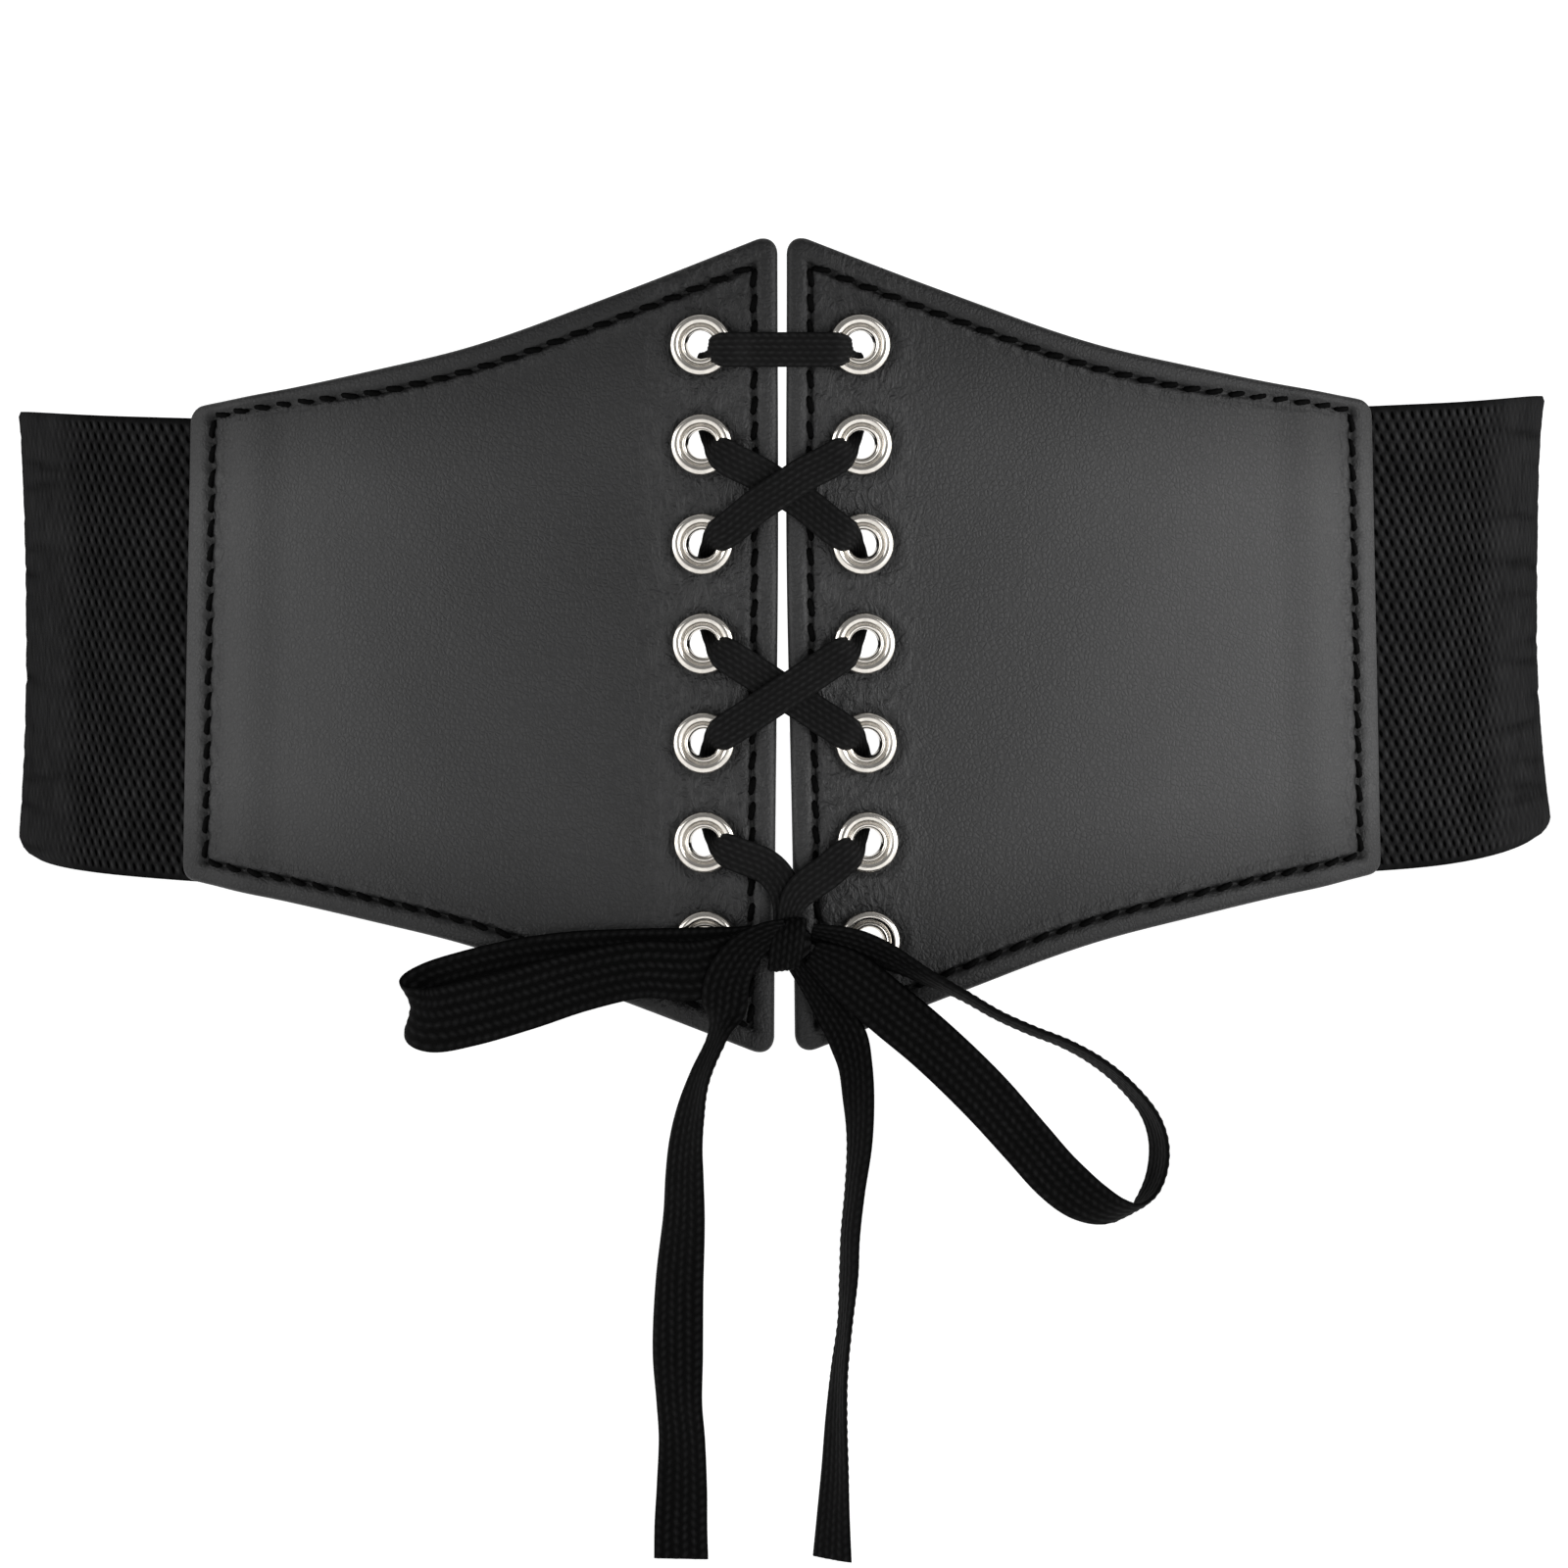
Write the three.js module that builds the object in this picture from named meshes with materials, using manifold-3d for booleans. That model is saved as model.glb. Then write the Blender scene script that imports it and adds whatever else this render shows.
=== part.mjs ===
// Corset belt: two shaped faux-leather panels laced together at the front through
// metal eyelets, on two wide elastic bands that run round to closure tabs at the back.
// Millimetres, +Z up, the front faces -Y and +X is to the right.
// The origin is the centre of the waist loop at the panels' middle height.

import * as THREE from 'three';
import Module from 'manifold-3d';

const wasm = await Module();
wasm.setup();

// Waist loop: the ellipse that the elastic's outer face follows.
const WAIST_HALF_WIDTH = 131.5;
const WAIST_HALF_DEPTH = 90;

// Front panels.
const PANEL_INNER_HALF = 68.1;
const PANEL_OUTER_HALF = 39.6;
const PANEL_REACH = 103.1;
const PANEL_SPLAY = 1.55;
const PANEL_THICKNESS = 2.2;
const PANEL_CORNER_RADIUS = 2.4;
const GAP_HALF_TOP = 0.8;
const GAP_HALF_BOTTOM = { left: 1.3, right: 2.1 };

// Folded border along the panel's edge, with the stitch line in a groove.
const BORDER_WIDTH = 4.2;
const BORDER_RISE = 0.4;
const STITCH_GROOVE_DEPTH = 0.3;
const EDGE_ROUND = 0.7;

// Shallow channel where the leather dips in front of the elastic's sewn end.
const CHANNEL_INSET = 11.5;
const CHANNEL_HALF_WIDTH = 7.5;
const CHANNEL_DEPTH = 0.5;

// Elastic bands.
const ELASTIC_HEIGHT = 77;
const ELASTIC_THICKNESS = 1.5;
const ELASTIC_TUCK = 16;
const ELASTIC_DRIFT = 2.1;
const ELASTIC_NECKING = 2.7;
const ELASTIC_EDGE_ROUND = 0.4;
const ELASTIC_FLARE = 2.6;

// Closure at the back, left unfastened.
const BACK_OPENING = 41;
const TAB_LENGTH = 20;
const TAB_THICKNESS = 1.2;
const TAB_OVERHANG = 0.6;
const SNAP_COUNT = 2;
const SNAP_SPACING = 34;
const SNAP_CAP_RADIUS = 5.5;
const SNAP_CAP_HEIGHT = 2.2;
const SNAP_STUD_RADIUS = 4.6;
const SNAP_STUD_HEIGHT = 3;

// Eyelets.
const EYELET_ROWS = 7;
const EYELET_INSET = { top: 19.15, bottom: 19.55 };
const EYELET_ALONG = {
  left: { top: 13.1, bottom: 12.4 },
  right: { top: 12.5, bottom: 14.1 },
};
const EYELET_FLANGE_RADIUS = 5;
const EYELET_BORE_RADIUS = 2.6;
const EYELET_WALL = 0.35;
const EYELET_RISE = 1;
const EYELET_BACK_RADIUS = 4.3;
const EYELET_BACK_RISE = 0.7;

// Flat braided lace.
const LACE_WIDTH = 9;
const LACE_THICKNESS = 1.1;
const LACE_LACED_WIDTH = 5.6;
const LACE_BORE_WIDTH = 3.1;

// Knot of the bow.
const KNOT_HALF_WIDTH = 4;
const KNOT_HALF_HEIGHT = 4.2;
const KNOT_HALF_DEPTH = 3;
const KNOT_ALONG = 0.8;
const KNOT_ABOVE_LAST_EYELET = 0.35;
const KNOT_LIFT = 2.6;

// Clearances between neighbouring pieces.
const SEAT_GAP = 0.3;
const BORE_GAP = 0.25;
const LACE_GAP = 0.25;

// Mesh density.
const PANEL_COLUMNS = 16;
const EYELET_SIDES = 12;
const ELASTIC_STATIONS = 24;
const SNAP_SIDES = 16;

// Places that follow from the sizes above, measured outward from the elastic's outer face.
const PANEL_BACK = SEAT_GAP;
const PANEL_FRONT = PANEL_BACK + PANEL_THICKNESS;
const EYELET_CREST = PANEL_FRONT + SEAT_GAP + EYELET_RISE;
const EYELET_FOOT = PANEL_BACK - SEAT_GAP - EYELET_BACK_RISE;
const LACE_OVER_RIM = EYELET_CREST + LACE_GAP + LACE_THICKNESS / 2;
const LACE_UNDER_RIM = EYELET_FOOT - LACE_GAP - LACE_THICKNESS / 2;
const LACE_OVER_BORDER = PANEL_FRONT + BORDER_RISE + LACE_GAP + LACE_THICKNESS / 2;
const LACE_CROSSED_OVER = LACE_OVER_BORDER + LACE_THICKNESS + LACE_GAP;
const KNOT_UP = EYELET_INSET.bottom - PANEL_INNER_HALF + KNOT_ABOVE_LAST_EYELET;
const KNOT_OUT = EYELET_CREST + KNOT_LIFT;

const SIGN = { left: -1, right: 1 };

// Where the points of the panel's outline lie along its rounded corners and short edges.
const CORNER_SHARES = [0.25, 0.5, 0.75];
const EDGE_SHARES = [0, 0.5, 1];

// How far the panel's half height has dropped from the inner edge to the outer edge.
const PANEL_TAPER = [
  { across: 0, drop: 0 },
  { across: 0.18, drop: 0.255 },
  { across: 0.31, drop: 0.43 },
  { across: 0.43, drop: 0.585 },
  { across: 0.53, drop: 0.69 },
  { across: 0.66, drop: 0.79 },
  { across: 0.8, drop: 0.885 },
  { across: 1, drop: 1 },
];

// The elastic's middle height as shares of its drift, its loss of height as shares of its
// necking and its flare as shares of its full flare, from the tucked end to the back end.
const ELASTIC_COURSE = {
  left: [
    { along: 0, middle: -0.76, necked: 0, flared: 0 },
    { along: 0.14, middle: -0.5, necked: 0, flared: 0.02 },
    { along: 0.34, middle: -0.2, necked: 0.3, flared: 0.16 },
    { along: 0.6, middle: -0.7, necked: 0.2, flared: 0.1 },
    { along: 1, middle: -1, necked: 0, flared: 0 },
  ],
  right: [
    { along: 0, middle: 0.1, necked: 0, flared: 0 },
    { along: 0.14, middle: 0.55, necked: 0, flared: 0.2 },
    { along: 0.34, middle: 1.25, necked: 0.9, flared: 1 },
    { along: 0.6, middle: -0.2, necked: 0.3, flared: 0.3 },
    { along: 1, middle: -1, necked: 0, flared: 0 },
  ],
};

// Smooth function through one column of a table.
function courseOf(rows, from, to) {
  const positions = Float64Array.from(rows, (row) => row[from]);
  const values = Float64Array.from(rows, (row) => row[to]);
  const course = new THREE.CubicInterpolant(positions, values, 1, new Float64Array(1));
  return (at) => course.evaluate(THREE.MathUtils.clamp(at, positions[0], positions.at(-1)))[0];
}

// The waist curve, from the front centre counterclockwise seen from above.
const waist = new THREE.EllipseCurve(
  0, 0, WAIST_HALF_WIDTH, WAIST_HALF_DEPTH, -Math.PI / 2, 1.5 * Math.PI,
);
waist.arcLengthDivisions = 1440;
const WAIST_LENGTH = waist.getLength();

// Outward direction of the waist curve at a distance along it.
function outwardAt(along) {
  const share = THREE.MathUtils.euclideanModulo(along, WAIST_LENGTH) / WAIST_LENGTH;
  const angle = -Math.PI / 2 + waist.getUtoTmapping(share) * 2 * Math.PI;
  return {
    foot: new THREE.Vector3(WAIST_HALF_WIDTH * Math.cos(angle), WAIST_HALF_DEPTH * Math.sin(angle), 0),
    out: new THREE.Vector3(
      Math.cos(angle) / WAIST_HALF_WIDTH, Math.sin(angle) / WAIST_HALF_DEPTH, 0,
    ).normalize(),
  };
}

// Point at a distance along the waist curve, a height and a distance outward from it.
function placeOnWaist(along, up, out) {
  const { foot, out: direction } = outwardAt(along);
  return foot.addScaledVector(direction, out).setZ(up);
}

// Turns an object so that its +Z points outward at a place on the waist.
function seatOnWaist(object, along, up, out) {
  const direction = outwardAt(along).out;
  const side = new THREE.Vector3(0, 0, 1).cross(direction).normalize();
  const lift = new THREE.Vector3().crossVectors(direction, side);
  object.quaternion.setFromRotationMatrix(new THREE.Matrix4().makeBasis(side, lift, direction));
  object.position.copy(placeOnWaist(along, up, out));
  return object;
}

// Signed volume enclosed by a triangle list.
function enclosedVolume(points, faces) {
  return faces.reduce((sum, [a, b, c]) => (
    sum + points[a].dot(new THREE.Vector3().crossVectors(points[b], points[c])) / 6
  ), 0);
}

// Closed geometry from shared points and triangles, turned so that its faces point out.
function closedGeometry(points, faces) {
  const outward = enclosedVolume(points, faces) > 0;
  const geometry = new THREE.BufferGeometry();
  const positions = points.flatMap((point) => point.toArray());
  const index = faces.flatMap(([a, b, c]) => (outward ? [a, b, c] : [a, c, b]));
  geometry.setAttribute('position', new THREE.Float32BufferAttribute(positions, 3));
  geometry.setIndex(index);
  geometry.computeVertexNormals();
  return geometry;
}

// Triangles between neighbouring rings that all hold the same number of points.
function bandFaces(ringCount, ringSize) {
  const faces = [];
  for (let ring = 0; ring < ringCount - 1; ring += 1) {
    for (let i = 0; i < ringSize; i += 1) {
      const j = (i + 1) % ringSize;
      const a = ring * ringSize + i;
      const b = ring * ringSize + j;
      faces.push([a, b, b + ringSize], [a, b + ringSize, a + ringSize]);
    }
  }
  return faces;
}

// Fan over a flat ring of points, turned over at the far end of a loft.
function fanFaces(start, size, reversed) {
  const faces = [];
  for (let i = 1; i < size - 1; i += 1) {
    const face = [start, start + i, start + i + 1];
    faces.push(reversed ? face : face.reverse());
  }
  return faces;
}

// Solid lofted through rings of points, closed by a fan at both ends.
function loft(rings) {
  const size = rings[0].length;
  const faces = [
    ...bandFaces(rings.length, size),
    ...fanFaces(0, size, false),
    ...fanFaces((rings.length - 1) * size, size, true),
  ];
  return closedGeometry(rings.flat(), faces);
}

function toManifold(geometry) {
  return new wasm.Manifold(new wasm.Mesh({
    numProp: 3,
    vertProperties: new Float32Array(geometry.getAttribute('position').array),
    triVerts: new Uint32Array(geometry.index.array),
  }));
}

function fromManifold(solid) {
  const mesh = solid.getMesh();
  const geometry = new THREE.BufferGeometry();
  geometry.setAttribute('position', new THREE.BufferAttribute(mesh.vertProperties.slice(), 3));
  geometry.setIndex(new THREE.BufferAttribute(mesh.triVerts.slice(), 1));
  geometry.computeVertexNormals();
  return geometry;
}

// Panels

const panelDrop = courseOf(PANEL_TAPER, 'across', 'drop');

function panelHalf(along) {
  const fall = PANEL_INNER_HALF - PANEL_OUTER_HALF;
  return PANEL_INNER_HALF - fall * panelDrop(along / PANEL_REACH);
}

function panelInnerEdge(side, up) {
  const lowered = (PANEL_INNER_HALF - up) / (2 * PANEL_INNER_HALF);
  return THREE.MathUtils.lerp(GAP_HALF_TOP, GAP_HALF_BOTTOM[side], lowered);
}

function panelOuterEdge(up) {
  return PANEL_REACH - PANEL_SPLAY * (up / PANEL_OUTER_HALF);
}

// Upper edge of the panel moved inward by an inset measured square to the edge.
function panelUpperEdge(along, inset) {
  const reach = 0.5;
  const slope = (panelHalf(along + reach) - panelHalf(along - reach)) / (2 * reach);
  return panelHalf(along) - inset * Math.hypot(1, slope);
}

// One ring of the panel's outline at an inset, with rounded corners, and its columns.
function panelRing(side, inset) {
  const radius = Math.max(PANEL_CORNER_RADIUS - inset, 0.45);
  const innerReach = radius * 1.48;
  const outerReach = radius * 0.85;
  const corner = (edge, sense) => {
    let along = edge(0);
    let up = 0;
    for (let pass = 0; pass < 6; pass += 1) {
      up = sense * panelUpperEdge(along, inset);
      along = edge(up);
    }
    return new THREE.Vector2(along, up);
  };
  const innerEdge = (up) => panelInnerEdge(side, up) + inset;
  const outerEdge = (up) => panelOuterEdge(up) - inset;
  const row = (sense) => {
    const start = corner(innerEdge, sense);
    const end = corner(outerEdge, sense);
    const points = [];
    for (let column = 0; column <= PANEL_COLUMNS; column += 1) {
      const share = column / PANEL_COLUMNS;
      const spaced = share < 0.625 ? share * 1.2 : 0.75 + (share - 0.625) / 1.5;
      const along = THREE.MathUtils.lerp(start.x + innerReach * 0.92, end.x - outerReach, spaced);
      points.push(new THREE.Vector2(along, sense * panelUpperEdge(along, inset)));
    }
    return { start, end, points };
  };
  const rounded = (from, at, to) => CORNER_SHARES.map(
    (t) => new THREE.QuadraticBezierCurve(from, at, to).getPoint(t),
  );
  const edgePoints = (edge, from, to) => EDGE_SHARES.map((t) => {
    const up = THREE.MathUtils.lerp(from, to, t);
    return new THREE.Vector2(edge(up), up);
  });
  const upper = row(1);
  const lower = row(-1);
  const outer = edgePoints(outerEdge, upper.end.y - outerReach, lower.end.y + outerReach);
  const inner = edgePoints(innerEdge, lower.start.y + innerReach, upper.start.y - innerReach);
  return [
    ...upper.points,
    ...rounded(upper.points.at(-1), upper.end, outer[0]),
    ...outer,
    ...rounded(outer.at(-1), lower.end, lower.points.at(-1)),
    ...lower.points.toReversed(),
    ...rounded(lower.points[0], lower.start, inner[0]),
    ...inner,
    ...rounded(inner.at(-1), upper.start, upper.points[0]),
  ];
}

function channelDip(along, up) {
  const offset = (along - (panelOuterEdge(up) - CHANNEL_INSET)) / CHANNEL_HALF_WIDTH;
  return Math.abs(offset) < 1 ? CHANNEL_DEPTH * (0.5 + 0.5 * Math.cos(Math.PI * offset)) : 0;
}

// Triangles that close the panel's face inside its last ring, in upright columns.
function panelCapFaces(start) {
  const columns = PANEL_COLUMNS;
  const endPoints = 2 * CORNER_SHARES.length + EDGE_SHARES.length;
  const lowerStart = start + columns + 1 + endPoints;
  const faces = [];
  for (let column = 0; column < columns; column += 1) {
    const upper = start + column;
    const lower = lowerStart + columns - column;
    faces.push([upper, upper + 1, lower], [upper + 1, lower - 1, lower]);
  }
  const ends = [
    Array.from({ length: endPoints + 2 }, (_, i) => start + columns + i),
    [...Array.from({ length: endPoints + 1 }, (_, i) => lowerStart + columns + i), start],
  ];
  for (const end of ends) {
    const middle = (end.length - 1) / 2;
    const pivot = end[middle];
    const loop = [...end.slice(middle + 1), ...end.slice(0, middle)];
    for (let i = 0; i < loop.length - 1; i += 1) faces.push([pivot, loop[i], loop[i + 1]]);
  }
  return faces;
}

function panelGeometry(side) {
  const borderCrest = PANEL_FRONT + BORDER_RISE;
  const profile = [
    { inset: EDGE_ROUND, out: PANEL_BACK },
    { inset: 0, out: PANEL_BACK + EDGE_ROUND },
    { inset: 0, out: PANEL_FRONT - EDGE_ROUND },
    { inset: EDGE_ROUND, out: PANEL_FRONT + BORDER_RISE / 2 },
    { inset: BORDER_WIDTH * 0.45, out: borderCrest },
    { inset: BORDER_WIDTH * 0.85, out: PANEL_FRONT },
    { inset: BORDER_WIDTH, out: PANEL_FRONT - STITCH_GROOVE_DEPTH },
    { inset: BORDER_WIDTH * 1.2, out: PANEL_FRONT, dips: true },
  ];
  const rings = profile.map(({ inset, out, dips }) => panelRing(side, inset).map(
    ({ x, y }) => placeOnWaist(SIGN[side] * x, y, out - (dips ? channelDip(x, y) : 0)),
  ));
  const size = rings[0].length;
  const faces = [
    ...bandFaces(rings.length, size),
    ...panelCapFaces(0).map((face) => face.toReversed()),
    ...panelCapFaces((rings.length - 1) * size),
  ];
  const blank = toManifold(closedGeometry(rings.flat(), faces));
  const bore = EYELET_BORE_RADIUS + EYELET_WALL + BORE_GAP;
  const cutter = new THREE.CylinderGeometry(bore, bore, 4 * PANEL_THICKNESS, EYELET_SIDES);
  cutter.rotateX(Math.PI / 2);
  const holes = eyeletPlaces(side).map(({ along, up }) => {
    const holder = seatOnWaist(new THREE.Object3D(), along, up, PANEL_FRONT);
    holder.updateMatrixWorld();
    return toManifold(weldedByPlace(cutter.clone().applyMatrix4(holder.matrixWorld)));
  });
  return fromManifold(holes.reduce((solid, hole) => solid.subtract(hole), blank));
}

// Same geometry with one shared point wherever several lie in the same place.
function weldedByPlace(geometry) {
  const source = geometry.getAttribute('position');
  const known = new Map();
  const positions = [];
  const newIndex = Array.from({ length: source.count }, (_, i) => {
    const point = new THREE.Vector3().fromBufferAttribute(source, i);
    const key = point.toArray().map((value) => value.toFixed(3)).join();
    if (!known.has(key)) {
      known.set(key, known.size);
      positions.push(...point.toArray());
    }
    return known.get(key);
  });
  const welded = new THREE.BufferGeometry();
  const faces = [];
  for (let i = 0; i < geometry.index.count; i += 3) {
    const face = [0, 1, 2].map((k) => newIndex[geometry.index.getX(i + k)]);
    if (new Set(face).size === 3) faces.push(...face);
  }
  welded.setAttribute('position', new THREE.Float32BufferAttribute(positions, 3));
  welded.setIndex(faces);
  welded.computeVertexNormals();
  return welded;
}

// Eyelets

function eyeletPlace(side, row) {
  const share = (row - 1) / (EYELET_ROWS - 1);
  const column = EYELET_ALONG[side];
  return {
    along: SIGN[side] * THREE.MathUtils.lerp(column.top, column.bottom, share),
    up: THREE.MathUtils.lerp(
      PANEL_INNER_HALF - EYELET_INSET.top, EYELET_INSET.bottom - PANEL_INNER_HALF, share,
    ),
  };
}

function eyeletPlaces(side) {
  return Array.from({ length: EYELET_ROWS }, (_, i) => eyeletPlace(side, i + 1));
}

// Rolled front flange, barrel and curled back flange, turned as one closed profile.
function eyeletGeometry() {
  const bore = EYELET_BORE_RADIUS;
  const barrel = bore + EYELET_WALL;
  const seat = SEAT_GAP;
  const foot = -PANEL_THICKNESS - SEAT_GAP;
  const roll = EYELET_FLANGE_RADIUS - bore;
  const backRoll = EYELET_BACK_RADIUS - bore;
  const profile = [
    [barrel, seat],
    [EYELET_FLANGE_RADIUS - 0.15 * roll, seat],
    [EYELET_FLANGE_RADIUS, seat + 0.35 * EYELET_RISE],
    [EYELET_FLANGE_RADIUS - 0.17 * roll, seat + 0.85 * EYELET_RISE],
    [EYELET_FLANGE_RADIUS - 0.42 * roll, seat + EYELET_RISE],
    [bore + 0.2 * roll, seat + 0.72 * EYELET_RISE],
    [bore, seat],
    [bore, foot],
    [bore + 0.35 * backRoll, foot - EYELET_BACK_RISE],
    [EYELET_BACK_RADIUS - 0.15 * backRoll, foot - 0.8 * EYELET_BACK_RISE],
    [EYELET_BACK_RADIUS, foot],
    [barrel, foot],
    [barrel, seat],
  ].map(([radius, height]) => new THREE.Vector2(radius, height));
  const turned = weldedByPlace(new THREE.LatheGeometry(profile, EYELET_SIDES).rotateX(Math.PI / 2));
  return facingOut(turned);
}

// Geometry from points and an index with its faces turned to point out.
function facingOut(geometry) {
  const source = geometry.getAttribute('position');
  const points = Array.from({ length: source.count }, (_, i) => (
    new THREE.Vector3().fromBufferAttribute(source, i)
  ));
  const faces = Array.from({ length: geometry.index.count / 3 }, (_, i) => (
    [0, 1, 2].map((k) => geometry.index.getX(3 * i + k))
  ));
  return closedGeometry(points, faces);
}

// Elastic bands

const ELASTIC_START = PANEL_REACH - ELASTIC_TUCK;
const ELASTIC_END = WAIST_LENGTH / 2 - BACK_OPENING / 2 - TAB_THICKNESS - SEAT_GAP;
const elasticCourse = Object.fromEntries(['left', 'right'].map((side) => {
  const rows = ELASTIC_COURSE[side];
  return [side, {
    middle: courseOf(rows, 'along', 'middle'),
    necked: courseOf(rows, 'along', 'necked'),
    flared: courseOf(rows, 'along', 'flared'),
  }];
}));

function elasticSection(side, along) {
  const share = (along - ELASTIC_START) / (ELASTIC_END - ELASTIC_START);
  const course = elasticCourse[side];
  return {
    middle: ELASTIC_DRIFT * course.middle(share),
    half: (ELASTIC_HEIGHT - ELASTIC_NECKING * course.necked(share)) / 2,
    flare: ELASTIC_FLARE * course.flared(share),
  };
}

function elasticGeometry(side) {
  const heights = [-1, -0.6, 0, 0.6, 1];
  const rings = [];
  for (let station = 0; station <= ELASTIC_STATIONS; station += 1) {
    const along = THREE.MathUtils.lerp(ELASTIC_START, ELASTIC_END, station / ELASTIC_STATIONS);
    const { middle, half, flare } = elasticSection(side, along);
    const point = (share, rounding, out) => {
      const up = middle + share * (half - rounding);
      const lean = share < 0 ? flare * share * share : 0;
      return placeOnWaist(SIGN[side] * along, up, out + lean);
    };
    rings.push([
      ...heights.map((share) => point(share, ELASTIC_EDGE_ROUND, 0)),
      point(1, 0, -ELASTIC_THICKNESS / 2),
      ...heights.toReversed().map((share) => point(share, ELASTIC_EDGE_ROUND, -ELASTIC_THICKNESS)),
      point(-1, 0, -ELASTIC_THICKNESS / 2),
    ]);
  }
  return loft(rings);
}

// Closure tabs: leather folded round each band's back end.

function tabGeometry(side) {
  const nose = ELASTIC_END + SEAT_GAP + TAB_THICKNESS;
  const root = nose - TAB_LENGTH;
  const pocketEnd = ELASTIC_END + SEAT_GAP;
  const outerFace = SEAT_GAP + TAB_THICKNESS;
  const innerFace = -ELASTIC_THICKNESS - SEAT_GAP - TAB_THICKNESS;
  const corner = TAB_THICKNESS * 0.5;
  const outline = [
    [root, SEAT_GAP],
    [root + corner, outerFace],
    [(root + nose) / 2, outerFace],
    [nose - corner, outerFace],
    [nose, outerFace - corner],
    [nose, innerFace + corner],
    [nose - corner, innerFace],
    [(root + nose) / 2, innerFace],
    [root + corner, innerFace],
    [root, innerFace + TAB_THICKNESS],
    [(root + nose) / 2, innerFace + TAB_THICKNESS],
    [pocketEnd, innerFace + TAB_THICKNESS],
    [pocketEnd, SEAT_GAP],
    [(root + nose) / 2, SEAT_GAP],
  ];
  const contour = outline.map(([along, out]) => new THREE.Vector2(along, out));
  const { middle, half } = elasticSection(side, ELASTIC_END);
  const reach = half + TAB_OVERHANG;
  const rings = [-1, 1].map((sense) => outline.map(([along, out]) => (
    placeOnWaist(SIGN[side] * along, middle + sense * reach, out)
  )));
  const size = outline.length;
  const clockwise = THREE.ShapeUtils.isClockWise(contour);
  const cap = THREE.ShapeUtils.triangulateShape(contour, []).map((face) => (
    THREE.ShapeUtils.isClockWise(face.map((i) => contour[i])) === clockwise ? face : face.toReversed()
  ));
  const faces = [
    ...bandFaces(2, size),
    ...cap.map((face) => face.toReversed()),
    ...cap.map((face) => face.map((i) => i + size)),
  ];
  return closedGeometry(rings.flat(), faces);
}

// Snap halves on the tabs' outer faces.

function snapGeometry(radius, height, crown) {
  const profile = [
    [0, 0],
    [radius, 0],
    [radius, height * 0.3],
    [radius * 0.86, height * 0.62],
    [radius * crown, height * 0.72],
    [radius * crown * 0.9, height],
    [0, height],
  ].map(([r, h]) => new THREE.Vector2(r, h));
  const turned = new THREE.LatheGeometry(profile, SNAP_SIDES).rotateX(Math.PI / 2);
  return facingOut(weldedByPlace(turned));
}

// Lace

// Direction of a ribbon's width at a place: face turns it in the wall, tilt lifts it out.
function widthDirection(along, face, tilt) {
  const out = outwardAt(along).out;
  const sideways = new THREE.Vector3(0, 0, 1).cross(out).normalize();
  const turn = THREE.MathUtils.degToRad(face);
  const lift = THREE.MathUtils.degToRad(tilt);
  return new THREE.Vector3()
    .addScaledVector(sideways, Math.cos(lift) * Math.cos(turn))
    .addScaledVector(new THREE.Vector3(0, 0, 1), Math.cos(lift) * Math.sin(turn))
    .addScaledVector(out, Math.sin(lift));
}

// Flat ribbon through rows of places, with a cross-section of eight corners.
function ribbonGeometry(rows, stepsPerRow) {
  const path = new THREE.CatmullRomCurve3(
    rows.map(({ along, up, out }) => placeOnWaist(along, up, out)), false, 'centripetal',
  );
  const corner = [
    [1, 0.5], [0.84, 1], [-0.84, 1], [-1, 0.5], [-1, -0.5], [-0.84, -1], [0.84, -1], [1, -0.5],
  ];
  const steps = (rows.length - 1) * stepsPerRow;
  const rings = [];
  for (let step = 0; step <= steps; step += 1) {
    const reached = Math.min(Math.floor(step / stepsPerRow), rows.length - 2);
    const blend = step / stepsPerRow - reached;
    const [before, after] = [rows[reached], rows[reached + 1]];
    const mix = (key) => THREE.MathUtils.lerp(before[key], after[key], blend);
    const centre = path.getPoint(step / steps);
    const tangent = path.getTangent(step / steps);
    const wide = widthDirection(mix('along'), before.face, before.tilt)
      .lerp(widthDirection(mix('along'), after.face, after.tilt), blend);
    wide.addScaledVector(tangent, -wide.dot(tangent)).normalize();
    const thick = new THREE.Vector3().crossVectors(tangent, wide);
    const halfWidth = mix('width') / 2;
    const halfThickness = LACE_THICKNESS / 2;
    rings.push(corner.map(([w, t]) => centre.clone()
      .addScaledVector(wide, w * halfWidth)
      .addScaledVector(thick, t * halfThickness)));
  }
  return loft(rings);
}

// The eyelets in the order in which the lace passes them, from the bow and back to it.
const LACE_ORDER = [
  ['left', 6], ['left', 5], ['right', 4], ['right', 3], ['left', 2], ['left', 1],
  ['right', 1], ['right', 2], ['left', 3], ['left', 4], ['right', 5], ['right', 6],
];

// Strands that lie on top where two cross at the front, named by the eyelet they start at.
const LACE_ON_TOP = ['left5', 'right2'];

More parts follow.
